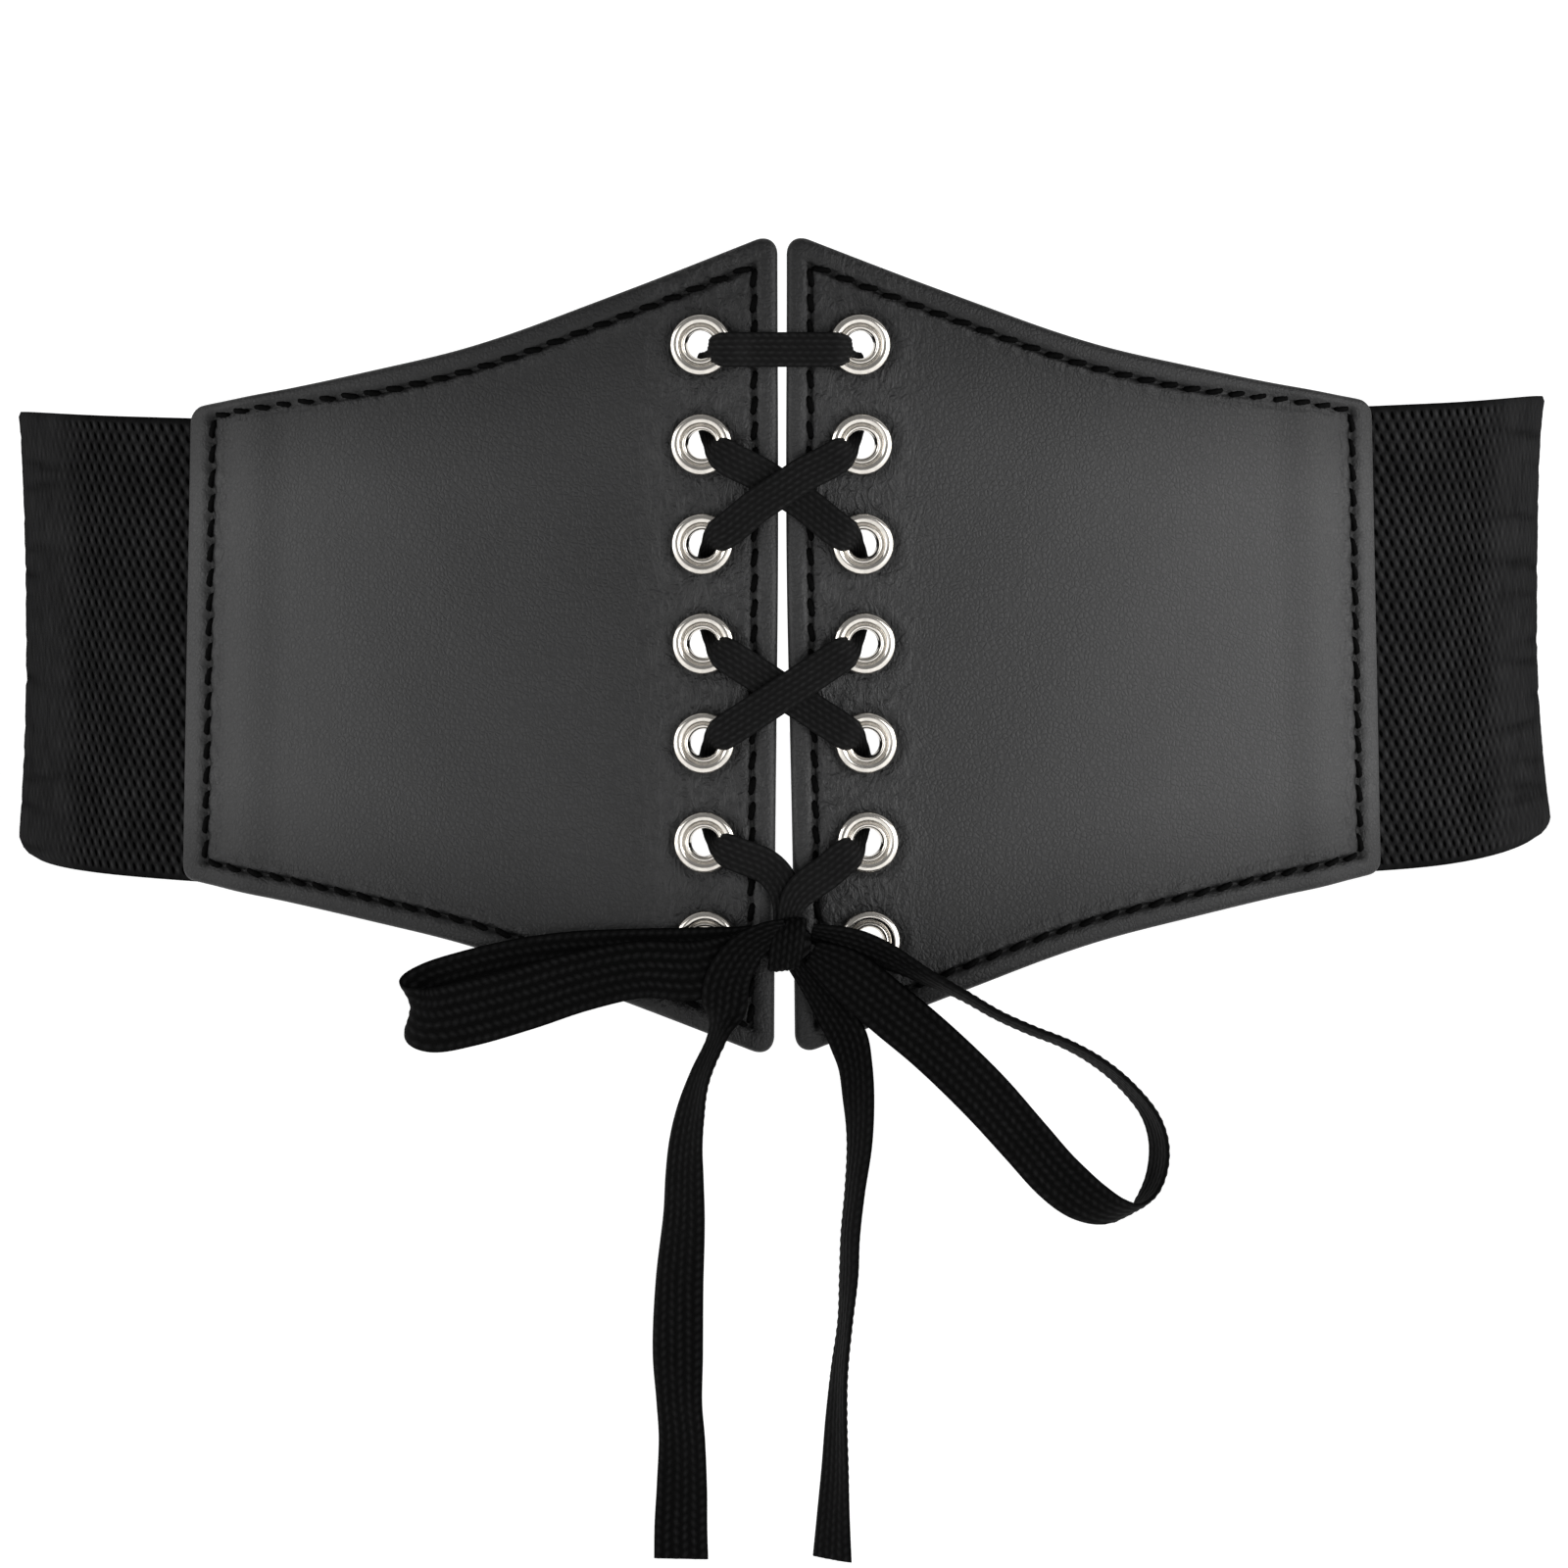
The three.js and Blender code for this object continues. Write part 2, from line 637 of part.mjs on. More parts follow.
// The two strands from the lowest laced eyelets down to the knot: up from the knot's middle,
// out from the eyelets' crests, with the ribbon's width as a share of its laced width.
const LACE_TO_KNOT = {
  left: [
    { along: 0.6, up: 4.9, out: 0.3, share: 0.54, face: 0, tilt: 0 },
    { along: 0.3, up: 7, out: 0.2, share: 0.61, face: 8, tilt: 0 },
    { along: -0.8, up: 9.8, out: 0.1, share: 0.82, face: 35, tilt: 0 },
    { along: -3.6, up: 12.1, out: 0.1, share: 0.96, face: 55, tilt: 0 },
  ],
  right: [
    { along: 8.2, up: 11.5, out: 0.9, share: 1, face: 124, tilt: 0 },
    { along: 4.6, up: 9.7, out: 1.4, share: 0.89, face: 128, tilt: 0 },
    { along: 2.2, up: 7.2, out: 1.6, share: 0.68, face: 160, tilt: 0 },
    { along: 1.3, up: 4.9, out: 1.6, share: 0.54, face: 178, tilt: 0 },
  ],
};

function nearestTurn(face, previous) {
  return face + 180 * Math.round((previous - face) / 180);
}

function laceRows() {
  const holes = LACE_ORDER.map(([side, row]) => ({ name: side + row, ...eyeletPlace(side, row) }));
  const toKnot = (side) => routeRows(LACE_TO_KNOT[side], LACE_LACED_WIDTH);
  const rows = toKnot('left');
  const turned = (face) => nearestTurn(face, rows.at(-1).face);
  const headings = [-1, ...holes.keys()].map((index) => {
    const from = index < 0 ? rows.at(-1) : holes[index];
    const to = index + 1 < holes.length ? holes[index + 1] : toKnot('right')[0];
    const heading = new THREE.Vector2(to.along - from.along, to.up - from.up);
    return { heading, face: THREE.MathUtils.radToDeg(heading.angle()) + 90 };
  });
  const stationsInPass = [
    { reach: 0.92, out: LACE_OVER_RIM + 0.1, spread: 1, arriving: 1 },
    { reach: 0.5, out: LACE_OVER_RIM + 0.05, spread: 0.45, arriving: 1 },
    { reach: 0.2, out: PANEL_FRONT + 0.4, spread: 0, arriving: 1 },
    { reach: 0.18, out: (PANEL_FRONT + PANEL_BACK) / 2 - 0.2, spread: 0, arriving: 0.5 },
    { reach: 0.2, out: PANEL_BACK - 0.2, spread: 0, arriving: 0 },
    { reach: 0.5, out: LACE_UNDER_RIM - 0.05, spread: 0.45, arriving: 0 },
    { reach: 0.92, out: LACE_UNDER_RIM - 0.05, spread: 1, arriving: 0 },
  ];
  holes.forEach((hole, index) => {
    const inward = index % 2 === 0;
    const before = headings[index];
    const after = headings[index + 1];
    const backwards = before.heading.clone().normalize().negate();
    const onwards = after.heading.clone().normalize();
    const [front, back] = inward ? [backwards, onwards] : [onwards, backwards];
    const frontFace = inward ? before.face : after.face;
    const backFace = inward ? after.face : before.face;
    const pass = stationsInPass.map((station) => {
      const toward = back.clone().lerp(front, station.arriving)
        .multiplyScalar(station.reach * EYELET_FLANGE_RADIUS);
      const backTurned = nearestTurn(backFace, frontFace);
      return {
        along: hole.along + toward.x,
        up: hole.up + toward.y,
        out: station.out,
        face: THREE.MathUtils.lerp(backTurned, frontFace, station.arriving),
        tilt: 0,
        width: THREE.MathUtils.lerp(LACE_BORE_WIDTH, LACE_LACED_WIDTH, station.spread),
      };
    });
    for (const row of inward ? pass : pass.toReversed()) rows.push({ ...row, face: turned(row.face) });
    const next = holes[index + 1];
    if (!next) return;
    const behind = inward;
    const over = LACE_ON_TOP.includes(hole.name);
    const level = over ? LACE_CROSSED_OVER : LACE_OVER_BORDER;
    const length = after.heading.length();
    for (const offset of behind ? [0] : [-LACE_WIDTH / 2, 0, LACE_WIDTH / 2]) {
      const share = 0.5 + offset / length;
      rows.push({
        along: THREE.MathUtils.lerp(hole.along, next.along, share),
        up: THREE.MathUtils.lerp(hole.up, next.up, share),
        out: behind ? LACE_UNDER_RIM : level,
        face: turned(after.face),
        tilt: 0,
        width: LACE_LACED_WIDTH,
      });
    }
  });
  rows.push(...toKnot('right').map((row) => ({ ...row, face: turned(row.face) })));
  return rows;
}

// Routes of the bow: along from the belt's middle, up from the knot's middle, out from the
// eyelets' crests, with the ribbon's width as a share of its full width and the way it points.
const LOOP_LEFT_ROUTE = [
  { along: -4.1, up: 0.8, out: 1.2, share: 0.5, face: 90, tilt: 0 },
  { along: -7.7, up: -0.8, out: 0.9, share: 0.78, face: 90, tilt: 0 },
  { along: -15.7, up: -2.1, out: 0.8, share: 1, face: 90, tilt: 0 },
  { along: -25, up: -2.5, out: 0.6, share: 1, face: 90, tilt: 0 },
  { along: -34.8, up: -3.3, out: 0.6, share: 1, face: 90, tilt: 0 },
  { along: -44.5, up: -4.9, out: 0.8, share: 1, face: 90, tilt: 0 },
  { along: -52.6, up: -6.7, out: 1, share: 1, face: 90, tilt: 0 },
  { along: -59.3, up: -8.6, out: 1.4, share: 1, face: 90, tilt: 0 },
  { along: -61.7, up: -9.5, out: 2.3, share: 1, face: 90, tilt: 0 },
  { along: -62.4, up: -10.7, out: 3.6, share: 1, face: 90, tilt: 0 },
  { along: -61.5, up: -12.2, out: 4.9, share: 1, face: 90, tilt: 0 },
  { along: -59, up: -13.1, out: 5.6, share: 1, face: 90, tilt: 0 },
  { along: -51.1, up: -11.5, out: 5.5, share: 1, face: 90, tilt: 0 },
  { along: -41.4, up: -8.9, out: 4.9, share: 1, face: 90, tilt: 0 },
  { along: -31.6, up: -6.2, out: 4.1, share: 1, face: 90, tilt: 0 },
  { along: -22.1, up: -3.8, out: 3.4, share: 1, face: 90, tilt: 0 },
  { along: -13.3, up: -1.8, out: 2.8, share: 1, face: 90, tilt: 0 },
  { along: -7, up: -0.3, out: 2.5, share: 0.78, face: 90, tilt: 0 },
  { along: -4.1, up: 0.8, out: 2.8, share: 0.5, face: 90, tilt: 0 },
];

const LOOP_RIGHT_ROUTE = [
  { along: 5.7, up: -1.6, out: 3, share: 0.5, face: 52, tilt: 8 },
  { along: 10.3, up: -4.8, out: 3.4, share: 0.82, face: 50, tilt: 4 },
  { along: 17.1, up: -10.4, out: 3.8, share: 1, face: 48, tilt: 0 },
  { along: 24.3, up: -16.8, out: 4.2, share: 1, face: 46, tilt: 0 },
  { along: 32.4, up: -24.8, out: 4.6, share: 1, face: 45, tilt: 0 },
  { along: 39.7, up: -32.3, out: 5, share: 1, face: 47, tilt: 4 },
  { along: 45.8, up: -38, out: 5.2, share: 1, face: 52, tilt: 16 },
  { along: 50.7, up: -42, out: 5.2, share: 1, face: 62, tilt: 44 },
  { along: 54.7, up: -43.5, out: 5.2, share: 1, face: 80, tilt: 64 },
  { along: 58, up: -43.2, out: 5.2, share: 1, face: 100, tilt: 78 },
  { along: 60.9, up: -40.9, out: 5.2, share: 1, face: 120, tilt: 88 },
  { along: 62.6, up: -37.4, out: 5.2, share: 1, face: 120, tilt: 90 },
  { along: 62.8, up: -33.4, out: 5.2, share: 1, face: 120, tilt: 90 },
  { along: 61.3, up: -28.8, out: 5.2, share: 1, face: 120, tilt: 90 },
  { along: 56.8, up: -23.6, out: 5.2, share: 1, face: 120, tilt: 90 },
  { along: 52, up: -19.6, out: 5.2, share: 1, face: 120, tilt: 90 },
  { along: 46.3, up: -16.6, out: 5.2, share: 1, face: 120, tilt: 90 },
  { along: 39.9, up: -14, out: 5.2, share: 1, face: 120, tilt: 90 },
  { along: 34.2, up: -11.5, out: 5, share: 1, face: 120, tilt: 90 },
  { along: 29.2, up: -8.3, out: 4.8, share: 1, face: 120, tilt: 88 },
  { along: 23.5, up: -4.9, out: 4.5, share: 0.95, face: 120, tilt: 84 },
  { along: 17.1, up: -1.9, out: 4.1, share: 0.82, face: 118, tilt: 78 },
  { along: 11.2, up: 0.4, out: 3.6, share: 0.65, face: 110, tilt: 68 },
  { along: 5.6, up: 1.8, out: 3.1, share: 0.5, face: 100, tilt: 60 },
];

const TAIL_LEFT_ROUTE = [
  { along: -5, up: 1, out: 4.9, share: 0.45, face: -50, tilt: 0 },
  { along: -6.5, up: -2.4, out: 4.7, share: 0.75, face: -36, tilt: 0 },
  { along: -8.1, up: -6.7, out: 4.4, share: 1, face: -20, tilt: 6 },
  { along: -9.3, up: -11, out: 3.3, share: 0.95, face: -12, tilt: 30 },
  { along: -10.1, up: -14.2, out: 3.5, share: 0.9, face: -12, tilt: 58 },
  { along: -10.9, up: -17.3, out: 3.8, share: 0.9, face: -20, tilt: 76 },
  { along: -13, up: -21.7, out: 3.3, share: 0.9, face: -16, tilt: 66 },
  { along: -14.7, up: -28, out: 2.7, share: 1, face: -8, tilt: 58 },
  { along: -15.7, up: -35.2, out: 2.2, share: 1, face: -3, tilt: 48 },
  { along: -16.1, up: -44.8, out: 1.8, share: 1, face: -3, tilt: 43 },
  { along: -17, up: -56, out: 1.6, share: 1, face: -3, tilt: 32 },
  { along: -17.1, up: -67.2, out: 1.6, share: 1, face: 0, tilt: 31 },
  { along: -16.8, up: -75.2, out: 1.6, share: 1, face: 2, tilt: 37 },
  { along: -16.3, up: -81.6, out: 1.6, share: 1, face: 2, tilt: 35 },
  { along: -16.4, up: -89.6, out: 1.6, share: 1, face: 0, tilt: 25 },
  { along: -16.6, up: -96, out: 1.6, share: 1, face: 0, tilt: 14 },
  { along: -16.6, up: -101.2, out: 1.6, share: 1, face: 0, tilt: 8 },
];

const TAIL_RIGHT_ROUTE = [
  { along: 2.6, up: -4.8, out: 1.4, share: 0.45, face: 30, tilt: 8 },
  { along: 5.4, up: -7.8, out: 1, share: 0.55, face: 32, tilt: 10 },
  { along: 8.2, up: -11.6, out: 0.8, share: 0.65, face: 28, tilt: 12 },
  { along: 10.5, up: -15.4, out: 1, share: 0.72, face: 20, tilt: 22 },
  { along: 11.8, up: -20, out: 1.4, share: 0.85, face: 10, tilt: 46 },
  { along: 12.6, up: -26.4, out: 1.6, share: 1, face: 2, tilt: 57 },
  { along: 12.6, up: -32.8, out: 1.6, share: 1, face: 0, tilt: 64 },
  { along: 11.8, up: -40.8, out: 1.6, share: 1, face: -5, tilt: 71 },
  { along: 11.1, up: -48, out: 1.6, share: 1, face: -3, tilt: 73 },
  { along: 10.8, up: -54.4, out: 1.6, share: 1, face: -3, tilt: 73 },
  { along: 10.1, up: -62.4, out: 1.6, share: 1, face: -5, tilt: 80 },
  { along: 9.3, up: -70.4, out: 1.6, share: 1, face: -5, tilt: 77 },
  { along: 8.8, up: -78.4, out: 1.6, share: 1, face: -3, tilt: 72 },
  { along: 8.6, up: -86.4, out: 1.6, share: 1, face: -2, tilt: 65 },
  { along: 8.3, up: -94.6, out: 1.6, share: 1, face: -2, tilt: 57 },
  { along: 8, up: -101.2, out: 1.6, share: 1, face: -2, tilt: 50 },
];

function routeRows(route, width) {
  return route.map((row) => ({
    ...row, up: KNOT_UP + row.up, out: EYELET_CREST + row.out, width: row.share * width,
  }));
}

// Knot: a pinched bundle wrapped by one turn of lace, widest at its wrap.
const KNOT_SECTIONS = [
  { height: -1, spread: 0.5 },
  { height: -0.86, spread: 0.78 },
  { height: -0.5, spread: 0.97 },
  { height: -0.2, spread: 1 },
  { height: 0.2, spread: 1 },
  { height: 0.5, spread: 0.95 },
  { height: 0.86, spread: 0.74 },
  { height: 1, spread: 0.46 },
];

function knotGeometry() {
  const sides = 14;
  const rings = KNOT_SECTIONS.map(({ height, spread }) => (
    Array.from({ length: sides }, (_, i) => {
      const angle = (2 * Math.PI * i) / sides;
      const squared = (value) => Math.sign(value) * Math.abs(value) ** 0.9;
      return placeOnWaist(
        KNOT_ALONG + KNOT_HALF_WIDTH * spread * squared(Math.cos(angle)),
        KNOT_UP + KNOT_HALF_HEIGHT * height,
        KNOT_OUT + KNOT_HALF_DEPTH * spread * squared(Math.sin(angle)),
      );
    })
  ));
  return loft(rings);
}

// Materials and assembly

function material(color, roughness, metalness) {
  return new THREE.MeshStandardMaterial({ color, roughness, metalness });
}

function piece(name, geometry, look) {
  const mesh = new THREE.Mesh(geometry, look);
  mesh.name = name;
  return mesh;
}

const belt = new THREE.Group();

for (const side of ['left', 'right']) {
  belt.add(piece(`panel_${side}`, panelGeometry(side), material(0x2b2b2d, 0.55, 0)));
  belt.add(piece(`elastic_${side}`, elasticGeometry(side), material(0x0d0d0e, 0.85, 0)));
  belt.add(piece(`closure_tab_${side}`, tabGeometry(side), material(0x2b2b2d, 0.55, 0)));
  eyeletPlaces(side).forEach(({ along, up }, index) => {
    const eyelet = piece(`eyelet_${side}_${index + 1}`, eyeletGeometry(), material(0xb9b4ad, 0.28, 1));
    belt.add(seatOnWaist(eyelet, along, up, PANEL_FRONT));
  });
  for (let row = 0; row < SNAP_COUNT; row += 1) {
    const isCap = side === 'right';
    const geometry = isCap
      ? snapGeometry(SNAP_CAP_RADIUS, SNAP_CAP_HEIGHT, 0.6)
      : snapGeometry(SNAP_STUD_RADIUS, SNAP_STUD_HEIGHT, 0.4);
    const snap = piece(`${isCap ? 'snap_cap' : 'snap_stud'}_${row + 1}`, geometry, material(0xb9b4ad, 0.3, 1));
    const along = ELASTIC_END + SEAT_GAP + TAB_THICKNESS - TAB_LENGTH / 2;
    const up = elasticSection(side, ELASTIC_END).middle + SNAP_SPACING * (0.5 * (SNAP_COUNT - 1) - row);
    belt.add(seatOnWaist(snap, SIGN[side] * along, up, 2 * SEAT_GAP + TAB_THICKNESS));
  }
}

const braid = () => material(0x0e0e10, 0.8, 0);
belt.add(piece('lace', ribbonGeometry(laceRows(), 1), braid()));
belt.add(piece('bow_knot', knotGeometry(), braid()));
belt.add(piece('bow_loop_left', ribbonGeometry(routeRows(LOOP_LEFT_ROUTE, LACE_WIDTH), 1), braid()));
belt.add(piece('bow_loop_right', ribbonGeometry(routeRows(LOOP_RIGHT_ROUTE, LACE_WIDTH), 1), braid()));
belt.add(piece('lace_tail_left', ribbonGeometry(routeRows(TAIL_LEFT_ROUTE, LACE_WIDTH), 1), braid()));
belt.add(piece('lace_tail_right', ribbonGeometry(routeRows(TAIL_RIGHT_ROUTE, LACE_WIDTH), 1), braid()));

export default belt;
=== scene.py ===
import math

import bpy
import numpy as np
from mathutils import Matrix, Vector


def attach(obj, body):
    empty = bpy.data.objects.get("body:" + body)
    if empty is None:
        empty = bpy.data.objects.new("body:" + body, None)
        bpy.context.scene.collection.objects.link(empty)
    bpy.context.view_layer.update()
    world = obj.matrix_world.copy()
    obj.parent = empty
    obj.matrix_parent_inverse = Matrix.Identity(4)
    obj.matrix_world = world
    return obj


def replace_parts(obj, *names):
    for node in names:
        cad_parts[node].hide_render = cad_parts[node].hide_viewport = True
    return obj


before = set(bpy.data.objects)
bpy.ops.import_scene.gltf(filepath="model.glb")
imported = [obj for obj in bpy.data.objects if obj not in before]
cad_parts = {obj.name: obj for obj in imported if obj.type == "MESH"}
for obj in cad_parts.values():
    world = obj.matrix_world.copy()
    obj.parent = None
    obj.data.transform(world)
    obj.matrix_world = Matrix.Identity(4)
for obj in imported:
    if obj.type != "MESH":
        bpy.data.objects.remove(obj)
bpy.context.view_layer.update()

# Sizes in millimetres, as in the part.
WAIST_HALF_WIDTH, WAIST_HALF_DEPTH = 131.5, 90
PANEL_INNER_HALF, PANEL_OUTER_HALF = 68.1, 39.6
PANEL_REACH, PANEL_THICKNESS = 103.1, 2.2
GAP_HALF_TOP, GAP_HALF_BOTTOM = 0.8, {"left": 1.3, "right": 2.1}
BORDER_WIDTH, BORDER_RISE, BORDER_NARROWING = 3.8, 0.4, 0.65
RIDGE_INSET, RIDGE_HALF_WIDTH, RIDGE_HEIGHT = 12.9, 7.5, 0.6
ELASTIC_HEIGHT, ELASTIC_THICKNESS, ELASTIC_TUCK = 77, 1.5, 16
ELASTIC_DRIFT, ELASTIC_NECKING, ELASTIC_FLARE = 2.1, 2.7, 2.6
BACK_OPENING, TAB_LENGTH, TAB_THICKNESS, TAB_OVERHANG = 41, 20, 1.2, 0.6
SNAP_COUNT, SNAP_SPACING = 2, 34
EYELET_ROWS = 7
EYELET_INSET = {"top": 18.8, "bottom": 19.9}
EYELET_ALONG = {"left": (13.1, 12.4), "right": (12.5, 14.1)}
EYELET_RADIUS, EYELET_RISE, EYELET_BACK_RISE = 5, 1, 0.7
LACE_WIDTH, LACE_THICKNESS, LACE_LACED_WIDTH, LACE_BORE_WIDTH = 9, 1.1, 5.7, 3
SEAT_GAP, LACE_GAP = 0.3, 0.25

# How the photographed belt departs from an even build: the panels hang a little askew and
# reach out unevenly, the lacing draws their inner edges together, and the lace lies off the
# middle of its eyelets.
PANEL_TILT = 0.005
PANEL_EXTRA, PANEL_SPLAY = {"left": 1.5, "right": 1.2}, {"left": 1.05, "right": 1.2}
OUTER_BORDER = {"left": 5.1, "right": 4.7}
PANEL_PINCH, PINCH_UP, PINCH_SPAN = {"left": 0.35, "right": 0.62}, 16, 38
LACE_INWARD, TOP_LACE_DROP, UPPER_CROSSING_RISE = (1.2, 0.75), 0.8, 0.7

PANEL_BACK = SEAT_GAP
PANEL_FRONT = PANEL_BACK + PANEL_THICKNESS
EYELET_CREST = PANEL_FRONT + SEAT_GAP + EYELET_RISE
EYELET_FOOT = PANEL_BACK - SEAT_GAP - EYELET_BACK_RISE
KNOT_ALONG, KNOT_UP, KNOT_OUT = 0.8, EYELET_INSET["bottom"] - PANEL_INNER_HALF, EYELET_CREST + 2.6
SIGN = {"left": -1, "right": 1}

# Camera: the view of the photograph, level with the belt and turned slightly down.
CAMERA_AT = (0, -1426.5, 40)
CAMERA_AIM = (0.3, -92.5, -22.4)
CAMERA_LENS = 187.6


def smooth(x):
    x = np.clip(x, 0, 1)
    return x * x * (3 - 2 * x)


def course(rows, column):
    """Smooth function through one column of a table whose first column is the position."""
    at = np.array([row[0] for row in rows], float)
    value = np.array([row[column] for row in rows], float)
    slope = np.gradient(value, at)
    slope[1:-1] = ((value[2:] - value[:-2]) / (at[2:] - at[:-2]))

    def evaluate(x):
        x = np.clip(x, at[0], at[-1])
        k = np.clip(np.searchsorted(at, x, "right") - 1, 0, len(at) - 2)
        step = at[k + 1] - at[k]
        p = (x - at[k]) / step
        return ((2 * p**3 - 3 * p**2 + 1) * value[k] + (p**3 - 2 * p**2 + p) * step * slope[k]
                + (3 * p**2 - 2 * p**3) * value[k + 1] + (p**3 - p**2) * step * slope[k + 1])
    return evaluate


# The waist curve, from the front centre counterclockwise seen from above.
turns = np.linspace(0, 2 * math.pi, 1441)
ring = np.stack([WAIST_HALF_WIDTH * np.sin(turns), -WAIST_HALF_DEPTH * np.cos(turns)], -1)
reached = np.concatenate([[0], np.cumsum(np.linalg.norm(np.diff(ring, axis=0), axis=1))])
WAIST_LENGTH = reached[-1]


def wall_at(along):
    """Foot of a place on the waist curve, with its outward and sideways directions."""
    turn = np.interp(np.mod(along, WAIST_LENGTH), reached, turns)
    sine, cosine, level = np.sin(turn), np.cos(turn), np.zeros_like(turn)
    foot = np.stack([WAIST_HALF_WIDTH * sine, -WAIST_HALF_DEPTH * cosine, level], -1)
    out = np.stack([sine / WAIST_HALF_WIDTH, -cosine / WAIST_HALF_DEPTH, level], -1)
    out /= np.linalg.norm(out, axis=-1, keepdims=True)
    side = np.stack([-out[..., 1], out[..., 0], level], -1)
    return foot, out, side


def place(along, up, out):
    """Point at a distance along the waist, a height and a distance outward from the elastic."""
    along, up, out = np.broadcast_arrays(*(np.asarray(v, float) for v in (along, up, out)))
    foot, direction, _ = wall_at(along)
    point = foot + direction * out[..., None]
    point[..., 2] = up
    return point


# Meshes

def piece(name, points, faces, look, slot, values=None, uv=None, body="root"):
    """Smooth mesh object in metres, with values per vertex for its material to read."""
    mesh = bpy.data.meshes.new(name)
    mesh.from_pydata((np.asarray(points) * 0.001).tolist(), [], [list(f) for f in faces])
    for key, value in (values or {}).items():
        mesh.attributes.new(key, "FLOAT", "POINT").data.foreach_set("value", np.ravel(value).astype(np.float32))
    if uv is not None:
        corners = np.zeros(len(mesh.loops), np.int32)
        mesh.loops.foreach_get("vertex_index", corners)
        layer = mesh.uv_layers.new(name="UVMap")
        layer.data.foreach_set("uv", np.asarray(uv, np.float32)[corners].ravel())
    mesh.shade_smooth()
    mesh.materials.append(look)
    made = bpy.data.objects.new(name, mesh)
    bpy.context.scene.collection.objects.link(made)
    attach(made, body)
    return made


def joined(parts):
    """One list of points, faces and values from several (points, faces, values)."""
    points, faces, values, start = [], [], {}, 0
    for part in parts:
        points.append(part[0])
        faces.extend((np.asarray(face) + start).tolist() for face in part[1])
        for key, value in (part[2] if len(part) > 2 else {}).items():
            values.setdefault(key, []).append(np.ravel(value))
        start += len(part[0])
    return np.concatenate(points), faces, {key: np.concatenate(value) for key, value in values.items()}


def facing_out(points, faces):
    """The faces, all turned round if the closed surface is inside out."""
    first, second, third = (points[[face[k] for face in faces]] for k in range(3))
    volume = np.einsum("ij,ij->i", first, np.cross(second, third)).sum()
    return [face[::-1] for face in faces] if volume < 0 else faces


def tube_faces(rows, size, closed_ends=True):
    """Quads between rings of a tube, with its two ends capped."""
    index = np.arange(rows * size).reshape(rows, size)
    near, far = index[:-1], index[1:]
    quads = np.stack([near, np.roll(near, -1, 1), np.roll(far, -1, 1), far], -1).reshape(-1, 4).tolist()
    if closed_ends:
        quads += [index[0, ::-1].tolist(), index[-1].tolist()]
    return quads


def slab(front, back, keep):
    """Closed sheet from two grids of points, with walls round its rim and its holes."""
    rows, columns = front.shape[:2]
    count = rows * columns
    index = np.arange(count).reshape(rows, columns)
    quads = np.stack([index[:-1, :-1], index[:-1, 1:], index[1:, 1:], index[1:, :-1]], -1)[keep]
    edges = np.concatenate([quads[:, [k, (k + 1) % 4]] for k in range(4)])
    rim = edges[~np.isin(edges[:, 0] * count + edges[:, 1], edges[:, 1] * count + edges[:, 0])]
    walls = np.stack([rim[:, 1], rim[:, 0], rim[:, 0] + count, rim[:, 1] + count], -1)
    faces = np.concatenate([quads, quads[:, ::-1] + count, walls])
    used = np.unique(faces)
    points = np.concatenate([front.reshape(-1, 3), back.reshape(-1, 3)])[used]
    faces = np.searchsorted(used, faces).tolist()
    return points, facing_out(points, faces), used


def lathe(profile, segments):
    """Closed solid turned about +Z from a closed profile of (radius, height)."""
    profile = np.asarray(profile, float)
    angle = np.linspace(0, 2 * math.pi, segments, endpoint=False)[:, None]
    points = np.stack([profile[:, 0] * np.cos(angle), profile[:, 0] * np.sin(angle),
                       profile[:, 1] + 0 * angle], -1).reshape(-1, 3)
    index = np.arange(len(points)).reshape(segments, -1)
    far = np.roll(index, -1, 0)
    quads = np.stack([index, far, np.roll(far, -1, 1), np.roll(index, -1, 1)], -1).reshape(-1, 4)
    return points, facing_out(points, quads.tolist())


def seated(points, along, up, out):
    """Points of a small part whose +Z points outward, set at a place on the wall."""
    foot, direction, side = wall_at(np.asarray(float(along)))
    lift = np.cross(direction, side)
    centre = place(along, up, out)
    return centre + points[:, :1] * side + points[:, 1:2] * lift + points[:, 2:] * direction


# Node materials

def add(tree, kind, inputs=(), **settings):
    """Shader node with its settings and inputs, each a value or another node's socket."""
    made = tree.nodes.new(kind)
    for key, value in settings.items():
        setattr(made, key, value)
    for key, value in dict(inputs).items():
        if isinstance(value, bpy.types.NodeSocket):
            tree.links.new(value, made.inputs[key])
        else:
            made.inputs[key].default_value = value
    return made


def new_look(name, **constants):
    """Material with a Principled shader whose constants are set on its own sockets."""
    look = bpy.data.materials.new(name)
    look.use_nodes = True
    tree = look.node_tree
    tree.nodes.clear()
    shader = add(tree, "ShaderNodeBsdfPrincipled", constants)
    output = add(tree, "ShaderNodeOutputMaterial")
    tree.links.new(shader.outputs[0], output.inputs[0])
    return look, tree, shader


def ramp(tree, factor, low, high, dark, light):
    """Grey or colour that goes from dark at low to light at high."""
    made = add(tree, "ShaderNodeValToRGB", {0: factor})
    made.color_ramp.elements[0].position, made.color_ramp.elements[1].position = low, high
    made.color_ramp.elements[0].color = (*dark, 1)
    made.color_ramp.elements[1].color = (*light, 1)
    return made.outputs[0]


def span(tree, value, low, high, start, end):
    made = add(tree, "ShaderNodeMapRange", {0: value, 1: low, 2: high, 3: start, 4: end})
    return made.outputs[0]


